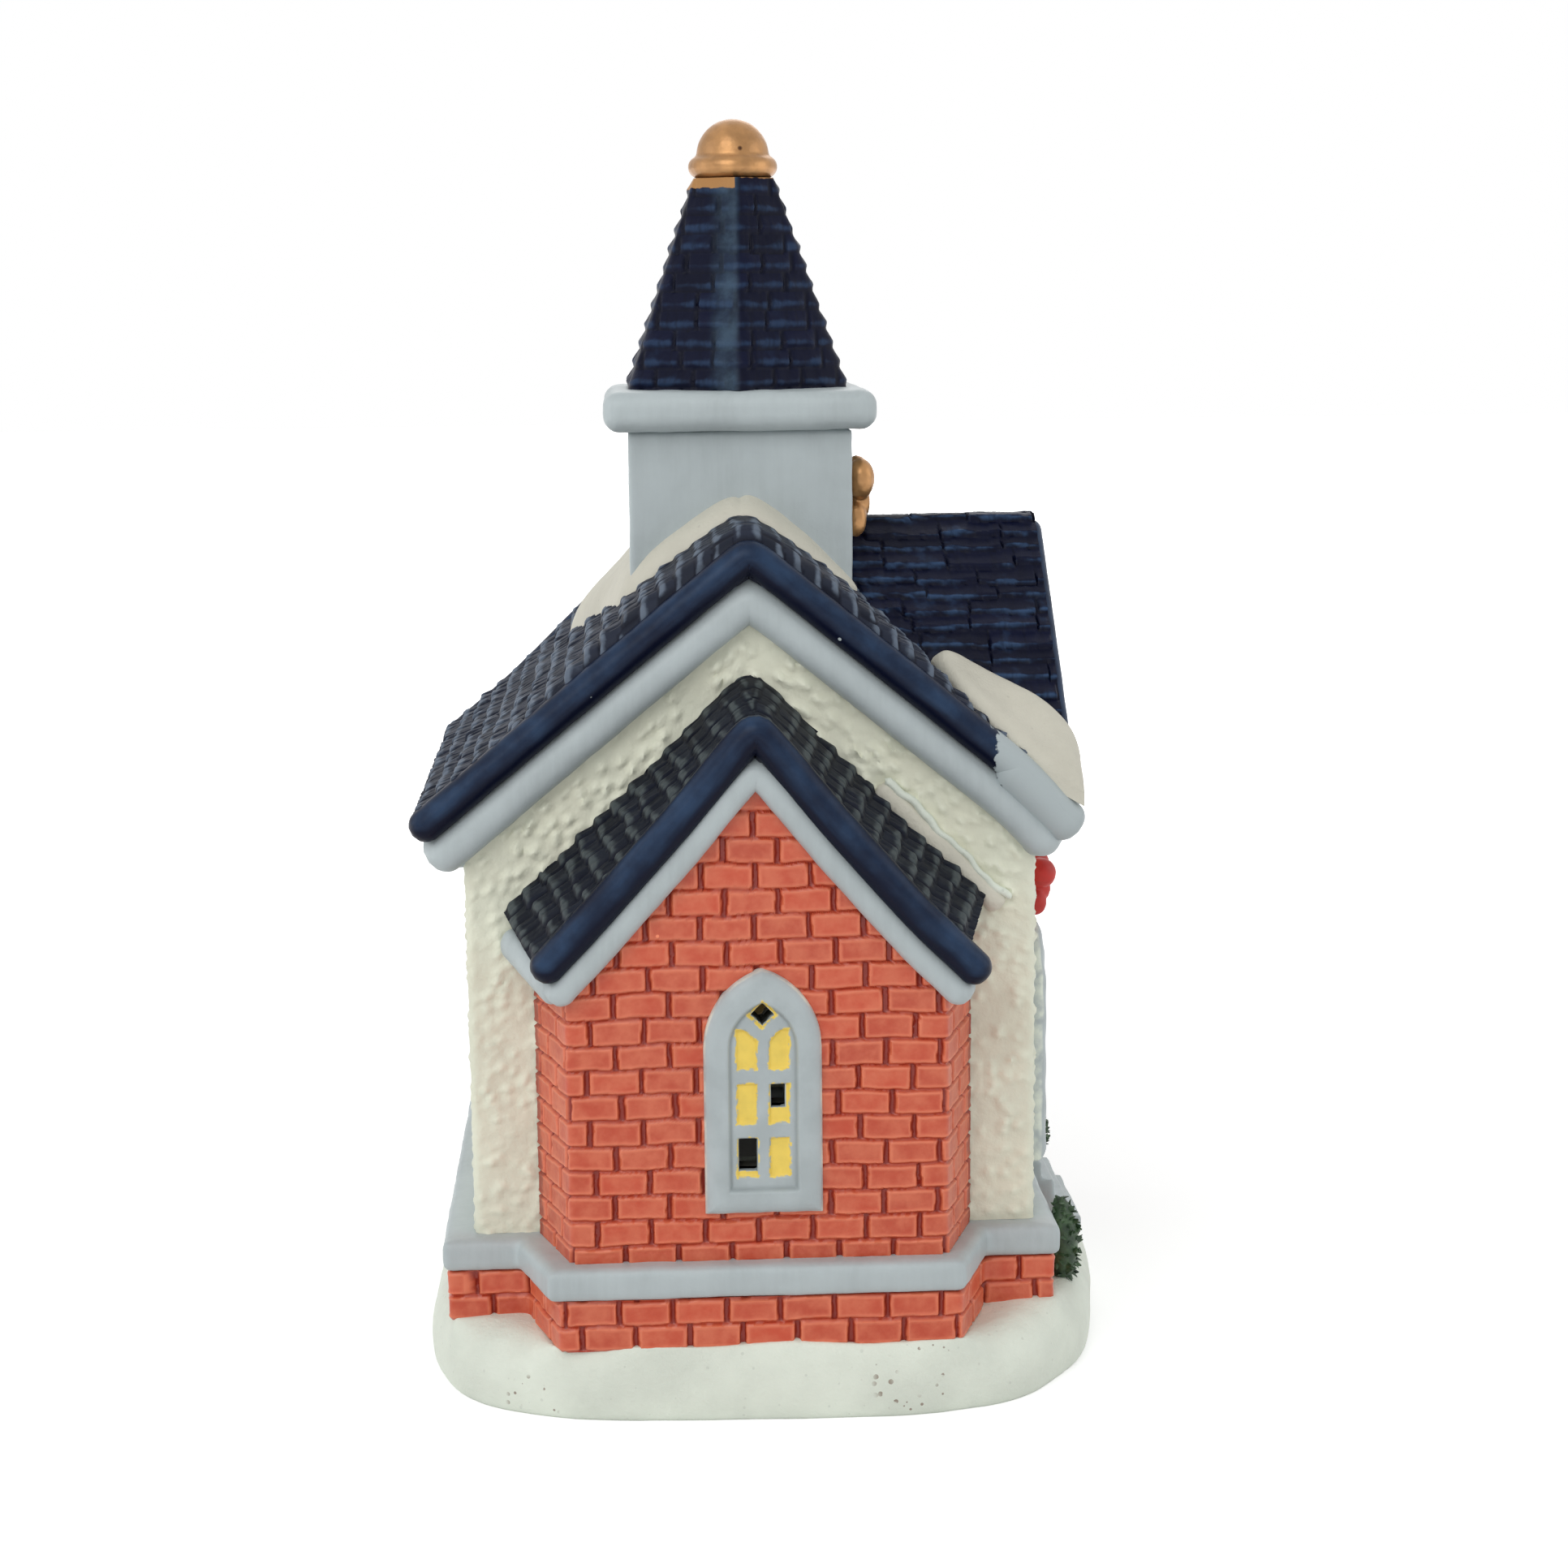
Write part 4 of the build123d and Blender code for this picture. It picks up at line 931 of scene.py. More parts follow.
class Paint(Graph):
    """Material with one Principled shader and the shared effects at hand. Sizes are in millimetres."""

    def __init__(self, name, roughness, metallic=0.0, coat=0.0, specular=0.5, clear=0.0):
        self.material = bpy.data.materials.new(name)
        self.material.use_nodes = True
        super().__init__(self.material.node_tree)
        self.shader = self.tree.nodes["Principled BSDF"]
        for socket, value in (
                ("Roughness", roughness), ("Metallic", metallic), ("Specular IOR Level", specular),
                ("Coat Weight", coat), ("Coat Roughness", 0.25), ("Transmission Weight", clear)):
            self.shader.inputs[socket].default_value = value
        self.place = self.wire("ShaderNodeTexCoord", "Object")

    def effect(self, build, output, **values):
        inputs = {socket_name(name): value for name, value in values.items()}
        return self.wire("ShaderNodeGroup", output, {"Place": self.place, **inputs},
                         node_tree=shared_tree(build))

    def field(self, name):
        return self.wire("ShaderNodeAttribute", "Fac", attribute_name=name)

    def distance(self, x, y, z):
        """Distance from a place in the house."""
        away = self.wire("ShaderNodeVectorMath", "Value", {
            0: self.place, 1: ((x + HOUSE_X) * MM, (y + HOUSE_Y) * MM, z * MM)}, operation="DISTANCE")
        return away / MM

    def cloud(self, size):
        return self.effect(mottle_group, "Cloud", cloud_size=size, stroke=(1.0, 1.0, 1.0))

    def clouded(self, colour, size, low, high):
        """Colour that drifts between two shades of itself."""
        return self.mix(self.cloud(size), tinted(colour, low), tinted(colour, high))

    def brush(self, *stroke):
        return self.effect(mottle_group, "Brush", cloud_size=9.0, stroke=stroke)

    def specks(self, spacing, size, share):
        return self.effect(speck_group, "Speck", spacing=spacing, size=size, share=share)

    def finished(self, colour, grain=None):
        """The material with its colour, and with grain of a size and a depth."""
        self.feed(self.shader.inputs["Base Color"], colour)
        if grain:
            size, depth = grain
            height = self.effect(grain_group, "Height", grain_size=size)
            self.feed(self.shader.inputs["Normal"], self.wire("ShaderNodeBump", "Normal", {
                "Height": height, "Strength": 1.0, "Distance": depth * MM}))
        return self.material


def snow_paint(paints, name, colour):
    paint = Paint(name, 0.55)
    base = paint.clouded(colour, 14.0, 0.9, 1.04)
    base = paint.mix(paint.specks(1.7, 0.32, 0.5) * 0.35, base, tinted(colour, 0.66))
    for spot, reach in SCUFFS:
        away = paint.distance(*spot) / reach
        ring = paint.smooth(away, 0.35, 0.6) * (1.0 - paint.smooth(away, 0.75, 1.0))
        torn = paint.smooth(paint.cloud(1.6) + paint.specks(1.1, 0.5, 0.6), 1.0, 1.3)
        base = paint.mix(ring * torn * 0.75, base, paints.scuff)
    return paint.finished(base, (0.6, 0.2))


def trim_paint(paints):
    paint = Paint("trim_grey", 0.46)
    base = paint.clouded(paints.trim, 11.0, 0.92, 1.05)
    base = paint.mix(paint.brush(900.0, 900.0, 90.0) * 0.25, base, tinted(paints.trim, 1.16))
    base = paint.mix(paint.specks(7.0, 0.3, 0.22), base, tinted(paints.trim, 0.45))
    return paint.finished(base, (0.9, 0.07))


def stucco_paint(paints):
    paint = Paint("stucco_cream", 0.5)
    base = paint.clouded(paints.stucco, 7.0, 0.9, 1.0)
    base = paint.mix(paint.cloud(12.0) * 0.35, base, paints.stucco_warm)
    # Painted highlight: the pebbles' tops are lighter than the cream.
    base = paint.mix(paint.field("crest"), base, tinted(paints.stucco, 1.12))
    base = paint.mix(paint.specks(6.0, 0.3, 0.15) * 0.5, base, tinted(paints.stucco, 0.6))
    return paint.finished(base, (0.8, 0.2))


def brick_paint(paints):
    """Red wash, thin on the bricks' edges with a painted highlight there, pooled in the joints, darkened by
    painted shade beside the front wall, and near-black painted shade on the inside.
    """
    paint = Paint("brick_red", 0.42, coat=0.15)
    base = paint.mix(paint.field("tone"), tinted(paints.brick, 0.88), tinted(paints.brick, 1.08))
    base = paint.mix(paint.cloud(3.4) * 0.55, base, tinted(paints.brick_rim, 0.92))
    # The lighter rims are thin paint on the edges, and also a painted highlight where the edges catch light.
    base = paint.mix(paint.field("rim") * 0.8, base, paints.brick_rim)
    base = paint.mix(paint.field("bed") * 0.55, base, tinted(paints.brick_joint_and_shade, 1.3))
    base = paint.mix(paint.smooth(paint.field("joint"), 0.2, 0.9), base, paints.brick_joint_and_shade)
    # Painted shade: where the bay meets the front wall, above the band, the bricks darken to the joints' red;
    # pooled is this painted shade.
    _, y, z = paint.split(paint.place)
    beside_wall = paint.smooth(y / MM - HOUSE_Y + WALL_Y + paint.cloud(3.0), -1.6, -0.6)
    pooled = beside_wall * (1.0 - (z < BAND_TOP * MM))
    base = paint.mix(pooled * 0.8, base, paints.brick_joint_and_shade)
    base = paint.mix(paint.specks(9.0, 0.35, 0.2), base, tinted(paints.brick_rim, 1.3))
    # Painted shade: the inside faces, where the press falls off, are a near-black share of the cream clay.
    outside = paint.smooth(paint.field("press"), 0.7, 1.0)
    return paint.finished(paint.mix(outside, tinted(paints.slip, 0.12), base), (0.5, 0.05))


def shingle_paint(paints, name, glaze, brushed, crest, roughness):
    """Dark shingle glaze, lighter over the shingles' lower edges with dry-brushed paint and a painted
    highlight, with a painted shadow at the foot of each course and a painted highlight down the spire's front
    arris.
    """
    paint = Paint(name, roughness, specular=0.1)
    base = paint.mix(paint.field("tone"), tinted(glaze, 0.75), tinted(glaze, 1.3))
    # Lighter paint over the shingles' lower edges: partly dry-brushed paint, partly a painted highlight where
    # the butts catch light; dragged is that mix.
    dragged = paint.smooth(paint.cloud(5.0) * 0.7 + paint.field("crest") * crest, 0.5, 1.15)
    base = paint.mix(dragged * (0.8 - paint.field("smoothed") * 0.45), base, brushed)
    base = paint.mix(paint.field("furrow") * 0.45, base, tinted(glaze, 0.5))
    # Dark joints: the gaps between shingles, and a painted shadow along the foot of each course.
    base = paint.mix(paint.field("joint") * 0.75, base, tinted(paints.navy, 0.4))
    # Painted highlight: greyer blue down the spire's front arris, fading more slowly to the left; worn is
    # that highlight.
    worn = paint.smooth(paint.field("arris"), 0.25, 1.0) * (0.15 + paint.cloud(4.0) * 0.5)
    base = paint.mix(worn, base, paints.arris)
    base = paint.mix(paint.specks(8.0, 0.35, 0.12), base, tinted(paints.trim, 0.9))
    x, _, z = paint.split(paint.place)
    spilt = z / MM - SPIRE_TOP + 1.5 * (x < HOUSE_X * MM) + paint.cloud(1.5) * 0.3
    return paint.finished(paint.mix(paint.smooth(spilt, 0.0, 0.15), base, paints.gold), (0.6, 0.06))


def roll_paint(paints):
    """Navy with a lighter blue painted highlight where the rolls face up and forward, broken by brush
    streaks, and grey where the near one runs on under the corner snow.
    """
    paint = Paint("brushed_roll", 0.34, specular=0.12)
    turned = paint.math("ABSOLUTE", paint.field("turn_x"))
    strokes = paint.vector(paint.field("run") * 0.1, turned * 1.2, paint.field("upward") * 1.6)
    streak = paint.ripple(strokes, 1.0, 3.0)
    # Painted highlight: lighter blue where a roll faces up and forward, broken by brush streaks; worn is that
    # highlight.
    worn = paint.smooth(turned * 0.8 + paint.field("upward") * 0.6 + streak * 0.7, 0.45, 1.0)
    worn = worn * (0.35 + paint.cloud(6.0) * 0.65)
    navy = paint.mix(worn, paints.roll, tinted(paints.navy_brush_and_highlight, 0.55))
    navy = paint.mix(paint.specks(9.0, 0.35, 0.2), navy, paints.trim)
    x, y, _ = paint.split(paint.place)
    ragged = x / MM - HOUSE_X - GREY_ROLL_X + (paint.cloud(2.0) - 0.5) * 1.6
    bare = paint.smooth(ragged, -0.2, 0.2) * (y < (HOUSE_Y - ROOF_Y + 6) * MM)
    return paint.finished(paint.mix(bare, navy, paints.trim), (0.8, 0.05))


def gilt_paint(paints):
    paint = Paint("gilt", 0.36, metallic=0.55)
    base = paint.clouded(paints.gold, 3.0, 0.78, 1.12)
    base = paint.mix(paint.specks(4.0, 0.7, 0.2) * 0.8, base, paints.gold_dark)
    # Painted shade: a dark spot where the finial has a pit, without a hollow in the mesh.
    pit = 1.0 - paint.smooth(paint.distance(*GILT_PIT), 0.2, 0.5)
    return paint.finished(paint.mix(pit, base, tinted(paints.gold_dark, 0.5)), (0.7, 0.07))


def window_paint(paints):
    paint = Paint("painted_window", 0.45)
    base = paint.clouded(paints.trim, 6.0, 0.9, 1.04)
    base = paint.mix(paint.field("scored") * 0.5, base, tinted(paints.trim, 0.4))
    chalky = (1.0 - paint.smooth(paint.field("edge"), 0.1, 0.4)) * paint.cloud(3.0) * paint.field("press")
    base = paint.mix(chalky, base, paints.snow)
    ragged = paint.field("pane_gap") + (paint.cloud(1.2) - 0.5) * 0.5
    lit = paint.clouded(paints.lit_pane, 2.2, 0.94, 1.04)
    return paint.finished(paint.mix(1.0 - paint.smooth(ragged, -0.05, 0.15), base, lit), (0.8, 0.06))


def plain_paint(name, low, high, size, depth):
    """Hand-brushed paint between two tones."""
    paint = Paint(name, 0.5)
    base = paint.mix(paint.cloud(size), low, high)
    return paint.finished(paint.mix(paint.specks(5.0, 0.3, 0.1), base, tinted(low, 0.5)), (0.7, depth))


FINISHES = {}
MIXES = {
    "trim": trim_paint, "stucco": stucco_paint, "brick": brick_paint, "gilt": gilt_paint,
    "window": window_paint, "roll": roll_paint,
    "snow": lambda paints: snow_paint(paints, "glazed_snow", paints.snow),
    "slip": lambda paints: snow_paint(paints, "snow_slip", paints.slip),
    "navy": lambda paints: shingle_paint(
        paints, "navy_glaze", paints.navy, paints.navy_brush_and_highlight, 0.75, 0.42),
    # The long roof: navy greyed as a painted sheen, with painted highlights on the shingles' edges.
    "slate": lambda paints: shingle_paint(paints, "slate_glaze", paints.slate, paints.slate_highlight, 0.95, 0.5),
    "olive": lambda paints: shingle_paint(
        paints, "olive_glaze", tinted(paints.slate, 0.58), paints.olive, 0.9, 0.5),
    "ribbon": lambda paints: plain_paint(
        "ribbon_red", tinted(paints.ribbon, 0.8), tinted(paints.ribbon, 1.1), 4.0, 0.06),
    "leaf": lambda paints: plain_paint("leaf_green", paints.leaf, paints.leaf_pale, 2.0, 0.06),
    "door": lambda paints: plain_paint(
        "door_stain", tinted(paints.door, 0.7), tinted(paints.door, 1.2), 3.0, 0.08),
}


def finish(name):
    """Paint of that name, mixed the first time it is asked for."""
    if name not in FINISHES:
        FINISHES[name] = MIXES[name](bpy.context.scene.church_paints)
    return FINISHES[name]


# Pieces


def house_corners(grow=0.0):
    """Plan of the walls with the canted bay, moved out by an amount, as corners."""
    cant = atan2(BAY_WALL - BAY_FRONT, BAY_Y - WALL_Y)
    out = grow / cos(cant) - grow * tan(cant)
    right = [(BAY_FRONT + out, -BAY_Y - grow), (BAY_WALL + out, -WALL_Y - grow),
             (WALL_X + grow, -WALL_Y - grow), (WALL_X + grow, WALL_Y + grow)]
    left = [(-x, y) for x, y in right]
    return [*left[2::-1], *right, left[3]]


def ray_reach(corners, turns):
    """Distance from the axis to a plan outline in each direction."""
    corners = np.array(corners)
    ahead = np.roll(corners, -1, 0) - corners
    rays = np.stack([np.cos(turns), np.sin(turns)], 1)
    across = rays[:, None, 0] * ahead[:, 1] - rays[:, None, 1] * ahead[:, 0]
    distance = (corners[:, 0] * ahead[:, 1] - corners[:, 1] * ahead[:, 0]) / across
    share = (corners[:, 0] * rays[:, None, 1] - corners[:, 1] * rays[:, None, 0]) / across
    return np.where((share >= 0) & (share <= 1) & (distance > 0), distance, np.inf).min(1)


def mound_mesh(step):
    """Snow that bulges out over a narrower foot and rounds up to the plinth."""
    path = rounded_path(BASE_CORNERS, BASE_ROUND, step)[0]
    turns = np.arctan2(path[:, 1], path[:, 0])
    reach = np.linalg.norm(path, axis=1)
    rays = path / reach[:, None]
    margin = reach - np.minimum(ray_reach(house_corners(PLINTH_PROUD), turns), reach - 0.8)
    low = np.linspace(0, 1, 9)[:-1]
    top = np.linspace(0, 1, 40)
    lower = reach[:, None] - BASE_FOOT * (1 - lobe(low))
    upper = reach[:, None] - (margin + 1.5)[:, None] * top
    rounding = np.minimum(6.0, margin * 0.95)[:, None]
    swell = 0.35 * (np.sin(turns * 7) + np.sin(turns * 17 + 2))[:, None]
    height = BASE_BELLY + (BASE_TOP + 0.5 - BASE_BELLY) * lobe((reach[:, None] - upper) / rounding)
    height = height + swell * eased(top, 1)
    plan = np.concatenate([lower, upper], 1)[..., None] * rays[:, None]
    level = np.concatenate([np.repeat(low[None] * BASE_BELLY, len(path), 0), height], 1)
    return column_solid("snow_mound", raised(plan, level), -raised(rays * CLAY, 0.0), True)


class CHURCH_OT_snow_base(bpy.types.Operator):
    """Snow mound under the house"""
    bl_idname = "church.snow_base"
    bl_label = "Snow base"

    def execute(self, context):
        clay = context.scene.church_clay
        mesh = pressed(mound_mesh(clay.fineness * 1.2), clay_tree, wobble=clay.wobble * 1.2, wave=10.0,
                       seed=1.0, finish=finish("snow"))
        points = house_points(mesh)
        points[:, 2] = np.maximum(points[:, 2], 0)
        set_points(mesh, points)
        shown("snow_mound", mesh, "snow_base")
        return {"FINISHED"}


def under_main_roof(x, y):
    """Height of the main roof's underside over a place."""
    slope_x = (RIDGE - EAVE) / ROOF_X
    slope_y = (RIDGE - EAVE) / ROOF_Y
    long_part = RIDGE - SLAB * hypot(1, slope_x) - np.abs(x) * slope_x
    front_part = np.where(x > 0, RIDGE - SLAB * hypot(1, slope_y) - np.abs(y) * slope_y, 0)
    return np.maximum(long_part, front_part)


def bay_share(y):
    """Share of the way from the bay roof's front end to the wall."""
    return (np.asarray(y) + BAY_SLAB_Y) / (BAY_SLAB_Y - WALL_Y)


def bay_section(share):
    """Half width, eave and ridge of the bay roof at a share of its depth."""
    return [front + (back - front) * share for front, back in zip(BAY_ROOF_FRONT, BAY_ROOF_BACK)]


def bay_lift(x):
    """How far the bay's gable stands above the plain one, most at its ridge and its flared ends."""
    flare = np.where(x < 0, *BAY_FLARE) * eased(np.abs(x) - FLARE_FROM, FLARE_OVER)
    return BAY_LIFT - BAY_TILT * x + BAY_PEAK * (1 - eased(np.abs(x), PEAK_HALF)) + flare


def under_bay_roof(x, y):
    """Height of the bay roof's underside over a place."""
    half, eave, ridge = bay_section(bay_share(y))
    slope = (ridge - eave) / half
    return ridge - SLAB * np.hypot(1, slope) - np.abs(x) * slope + bay_lift(x)


def lancet_gap(across, up, width, height, spring):
    """Distance of points outside a pointed-arch outline, below zero inside."""
    half = width / 2
    rise = height - spring
    radius = (half ** 2 + rise ** 2) / (2 * half)
    arch = np.hypot(np.abs(across) + radius - half, np.maximum(up - spring, 0)) - radius
    return np.maximum(np.where(up > spring, arch, np.abs(across) - half), -up)


def pierced_panes(wall, distance, middle=0.0):
    """Openings of a window's pierced panes in the wall behind it."""
    reach = DIAMOND_HALF - PANE_MARGIN / 2
    outlines = [[(left, foot), (right, foot), (right, head), (left, head)]
                for left, right, foot, head in PIERCED]
    outlines.append([
        (side * reach, DIAMOND_MIDDLE + level * reach) for side, level in ((0, -1), (1, 0), (0, 1), (-1, 0))])
    return [(wall, distance, [(middle + across, WINDOW_SILL + up) for across, up in outline])
            for outline in outlines]


class CHURCH_OT_brickwork(bpy.types.Operator):
    """Brick bay and plinth"""
    bl_idname = "church.brickwork"
    bl_label = "Brickwork"

    def execute(self, context):
        bricks = context.scene.church_bricks
        step = bricks.fineness
        values = {name: getattr(bricks, name) for name in (
            "brick", "bed_joint", "cross_joint", "relief", "bevel")}
        values["finish"] = finish("brick")

        path, out, run = rounded_path(house_corners()[1:5], 0.9, step, closed=False)
        top = under_bay_roof(path[:, 0], path[:, 1])
        mesh = upright_wall("bay_bricks", path, out, run, BAND_TOP, top, CLAY, step, False)
        mesh = pressed(mesh, brick_tree, course=bricks.course, first_joint=BAY_RAISE, seed=3.0, **values)
        mesh = cut_out(mesh, pierced_panes("-Y", BAY_Y, BAY_WINDOW_X))
        shown("bay_bricks", mesh, "bay_wall")

        path, out, run = rounded_path(house_corners(PLINTH_PROUD), 1.0, step)
        path[:, 0] -= PLINTH_REAR * (path[:, 0] < -WALL_X)
        mesh = upright_wall(
            "plinth_bricks", path, out, run, BASE_TOP, PLINTH_TOP, CLAY + PLINTH_PROUD, step, True)
        course = (PLINTH_TOP - BASE_TOP) / 2
        mesh = pressed(mesh, brick_tree, course=course, first_joint=0.0, seed=11.0, **values)
        shown("plinth_bricks", mesh, "plinth")
        return {"FINISHED"}


class CHURCH_OT_stucco(bpy.types.Operator):
    """Rendered walls"""
    bl_idname = "church.stucco"
    bl_label = "Stucco walls"

    def execute(self, context):
        clay = context.scene.church_clay
        corners = [(-WALL_X, -WALL_Y), (WALL_X, -WALL_Y), (WALL_X, WALL_Y), (-WALL_X, WALL_Y)]
        path, out, run = rounded_path(corners, 1.6, clay.fineness)
        top = under_main_roof(path[:, 0], path[:, 1])

        def press(front):
            """Less relief low down, beside the corners and on the rear wall."""
            x, y, z = np.moveaxis(front, -1, 0)
            from_corner = np.maximum(WALL_X - np.abs(x), WALL_Y - np.abs(y))
            corner = np.clip(STUCCO_CORNER + from_corner / CORNER_REACH, 0, 1)
            level = STUCCO_LOW + (1 - STUCCO_LOW) * np.clip((z - STUCCO_FROM) / STUCCO_OVER, 0, 1)
            return level * corner * np.where(x < 1 - WALL_X, STUCCO_REAR, 1)

        mesh = upright_wall(
            "stucco_walls", path, out, run, BAND_TOP, top, CLAY, clay.fineness * 1.15, True, press=press)
        mesh = pressed(mesh, stucco_tree, pebble=clay.pebble, pebble_size=clay.pebble_size, seed=5.0,
                       finish=finish("stucco"))
        circle = [(LAMP_HOLE * cos(turn), LAMP_HEIGHT + LAMP_HOLE * sin(turn))
                  for turn in np.linspace(0, 2 * pi, 65)[:-1]]
        half = BAY_ROOM_HALF
        room = [(-half, BAND_TOP - 1), (half, BAND_TOP - 1), (half, BAY_ROOM_TOP), (-half, BAY_ROOM_TOP)]
        openings = [("+Y", WALL_Y, circle), ("-Y", WALL_Y, room), *pierced_panes("-X", WALL_X)]
        for side in (-FRONT_WINDOW_Y, FRONT_WINDOW_Y):
            openings += pierced_panes("+X", WALL_X, side)

        half, eave, ridge = BAY_ROOF_BACK
        side = np.linspace(*LEDGE_X, 60)
        level = ridge - (ridge - eave) / half * (side - LEDGE_OUT)
        ledge = rolled("ledge", [line_of(side, -WALL_Y, level)], LEDGE_HALVES, 0.25, finish("slip"), 24.0)
        torn = 0.7 * (1.7 + 0.25 * np.sin(side * 0.9) + 0.12 * np.sin(side * 2.3 + 1))
        fringe = rolled("fringe", [line_of(side + torn, -WALL_Y - 0.6, level + torn)], FRINGE_HALVES, 0.35,
                        finish("snow"), 25.0)
        mesh = joined("stucco_walls", [cut_out(mesh, openings), ledge, fringe])
        shown("stucco_walls", mesh, "wall_shell")
        return {"FINISHED"}


def soft_ridge(distance, rounding=1.0):
    """Distance from a ridge, eased so that the ridge is round."""
    return np.sqrt(np.asarray(distance) ** 2 + rounding ** 2)


def roof_lift(across):
    """How far the shingles stand above the plain slope, by the distance from the long ridge."""
    return ROOF_LIFT * (1 - eased(np.abs(across) - LIFT_FROM, LIFT_OVER))


def calmed(distance, at_ridge, on_slope, start, length):
    """Share of the relief of shingles that are worn along a ridge, by the distance from it."""
    return at_ridge + (on_slope - at_ridge) * eased(np.abs(distance) - start, length)


def slope_out(down, slope, rounding, axis):
    """Outward directions of a roof that falls along an axis of the plan to both sides of a round ridge."""
    out = np.zeros(down.shape + (3,))
    out[..., axis] = down / soft_ridge(down, rounding) * slope
    out[..., 2] = 1
    return out / np.linalg.norm(out, axis=-1, keepdims=True)


def roof_patch(name, across, along, long_ridge):
    """Roof slope as a solid sheet: columns by the distance from the ridge, rows along it.

    across are the columns' distances from the ridge, along their places down the ridge's line."""
    half, rounding = (ROOF_X, LONG_ROUND) if long_ridge else (ROOF_Y, 1.0)
    slope = (RIDGE - EAVE) / half
    down = np.repeat(across[:, None], along.shape[1], 1)
    height = RIDGE - slope * soft_ridge(down, rounding)
    press = 1.0
    if long_ridge:
        height = height + roof_lift(down) * lobe((along + ROOF_Y - ROLL) / LIFT_NEAR)
        press = calmed(down, *LONG_CALM)
    front = np.stack([down, along, height] if long_ridge else [along, down, height], -1)
    out = slope_out(down, slope, rounding, 0 if long_ridge else 1)
    rise = (half - np.abs(down)) * hypot(1, slope)
    order = -1 if (across.sum() > 0) != long_ridge else 1
    fields = {"run": along + RUN_START, "rise": rise, "out": out, "press": np.broadcast_to(press, down.shape)}
    return column_solid(name, front[::order], -out[::order, 0] * SLAB, False,
                        **{key: value[::order] for key, value in fields.items()})


def spread(low, high, step):
    """Even rows between two ends that change from column to column."""
    low, high = np.broadcast_arrays(low, high)
    rows = max(int(np.max(high - low) / step), 2) + 1
    return low[:, None] + (high - low)[:, None] * np.linspace(0, 1, rows)


def rake_line(half, eave, ridge, drop, longer=(0.0, 0.0), rounding=0.7):
    """Places across a gable and heights of a line under both rakes, a drop square to the roof.

    longer is how far the two ends run past the eaves."""
    slope = (ridge - eave) / half
    steep = hypot(1, slope)
    reach = half - drop * slope / steep
    side = np.linspace(-reach - longer[0], reach + longer[1], 121)
    return side, ridge - slope * soft_ridge(side, rounding) - drop * steep


def gable_lines(drop, inset, **shape):
    """Lines under the rakes of the three gables, set back from the ends of the roof."""
    side, level = rake_line(ROOF_X, EAVE, RIDGE, drop, **shape)
    lines = [line_of(side, hand * (ROOF_Y - inset), level) for hand in (1, -1)]
    side, level = rake_line(ROOF_Y, EAVE, RIDGE, drop, **shape)
    return lines + [line_of(ROOF_X - inset, side, level)]


def sagged(line, depth):
    """Line along the near gable that hangs down at the front corner."""
    return line - depth * eased(line[:, :1] - DROOP_FROM, DROOP_OVER) * (0, 0, 1)


def bay_line(drop, place, **shape):
    """Line under the rakes of the bay."""
    side, level = rake_line(*BAY_ROOF_FRONT, drop, **shape)
    return line_of(side, -place, level + bay_lift(side))


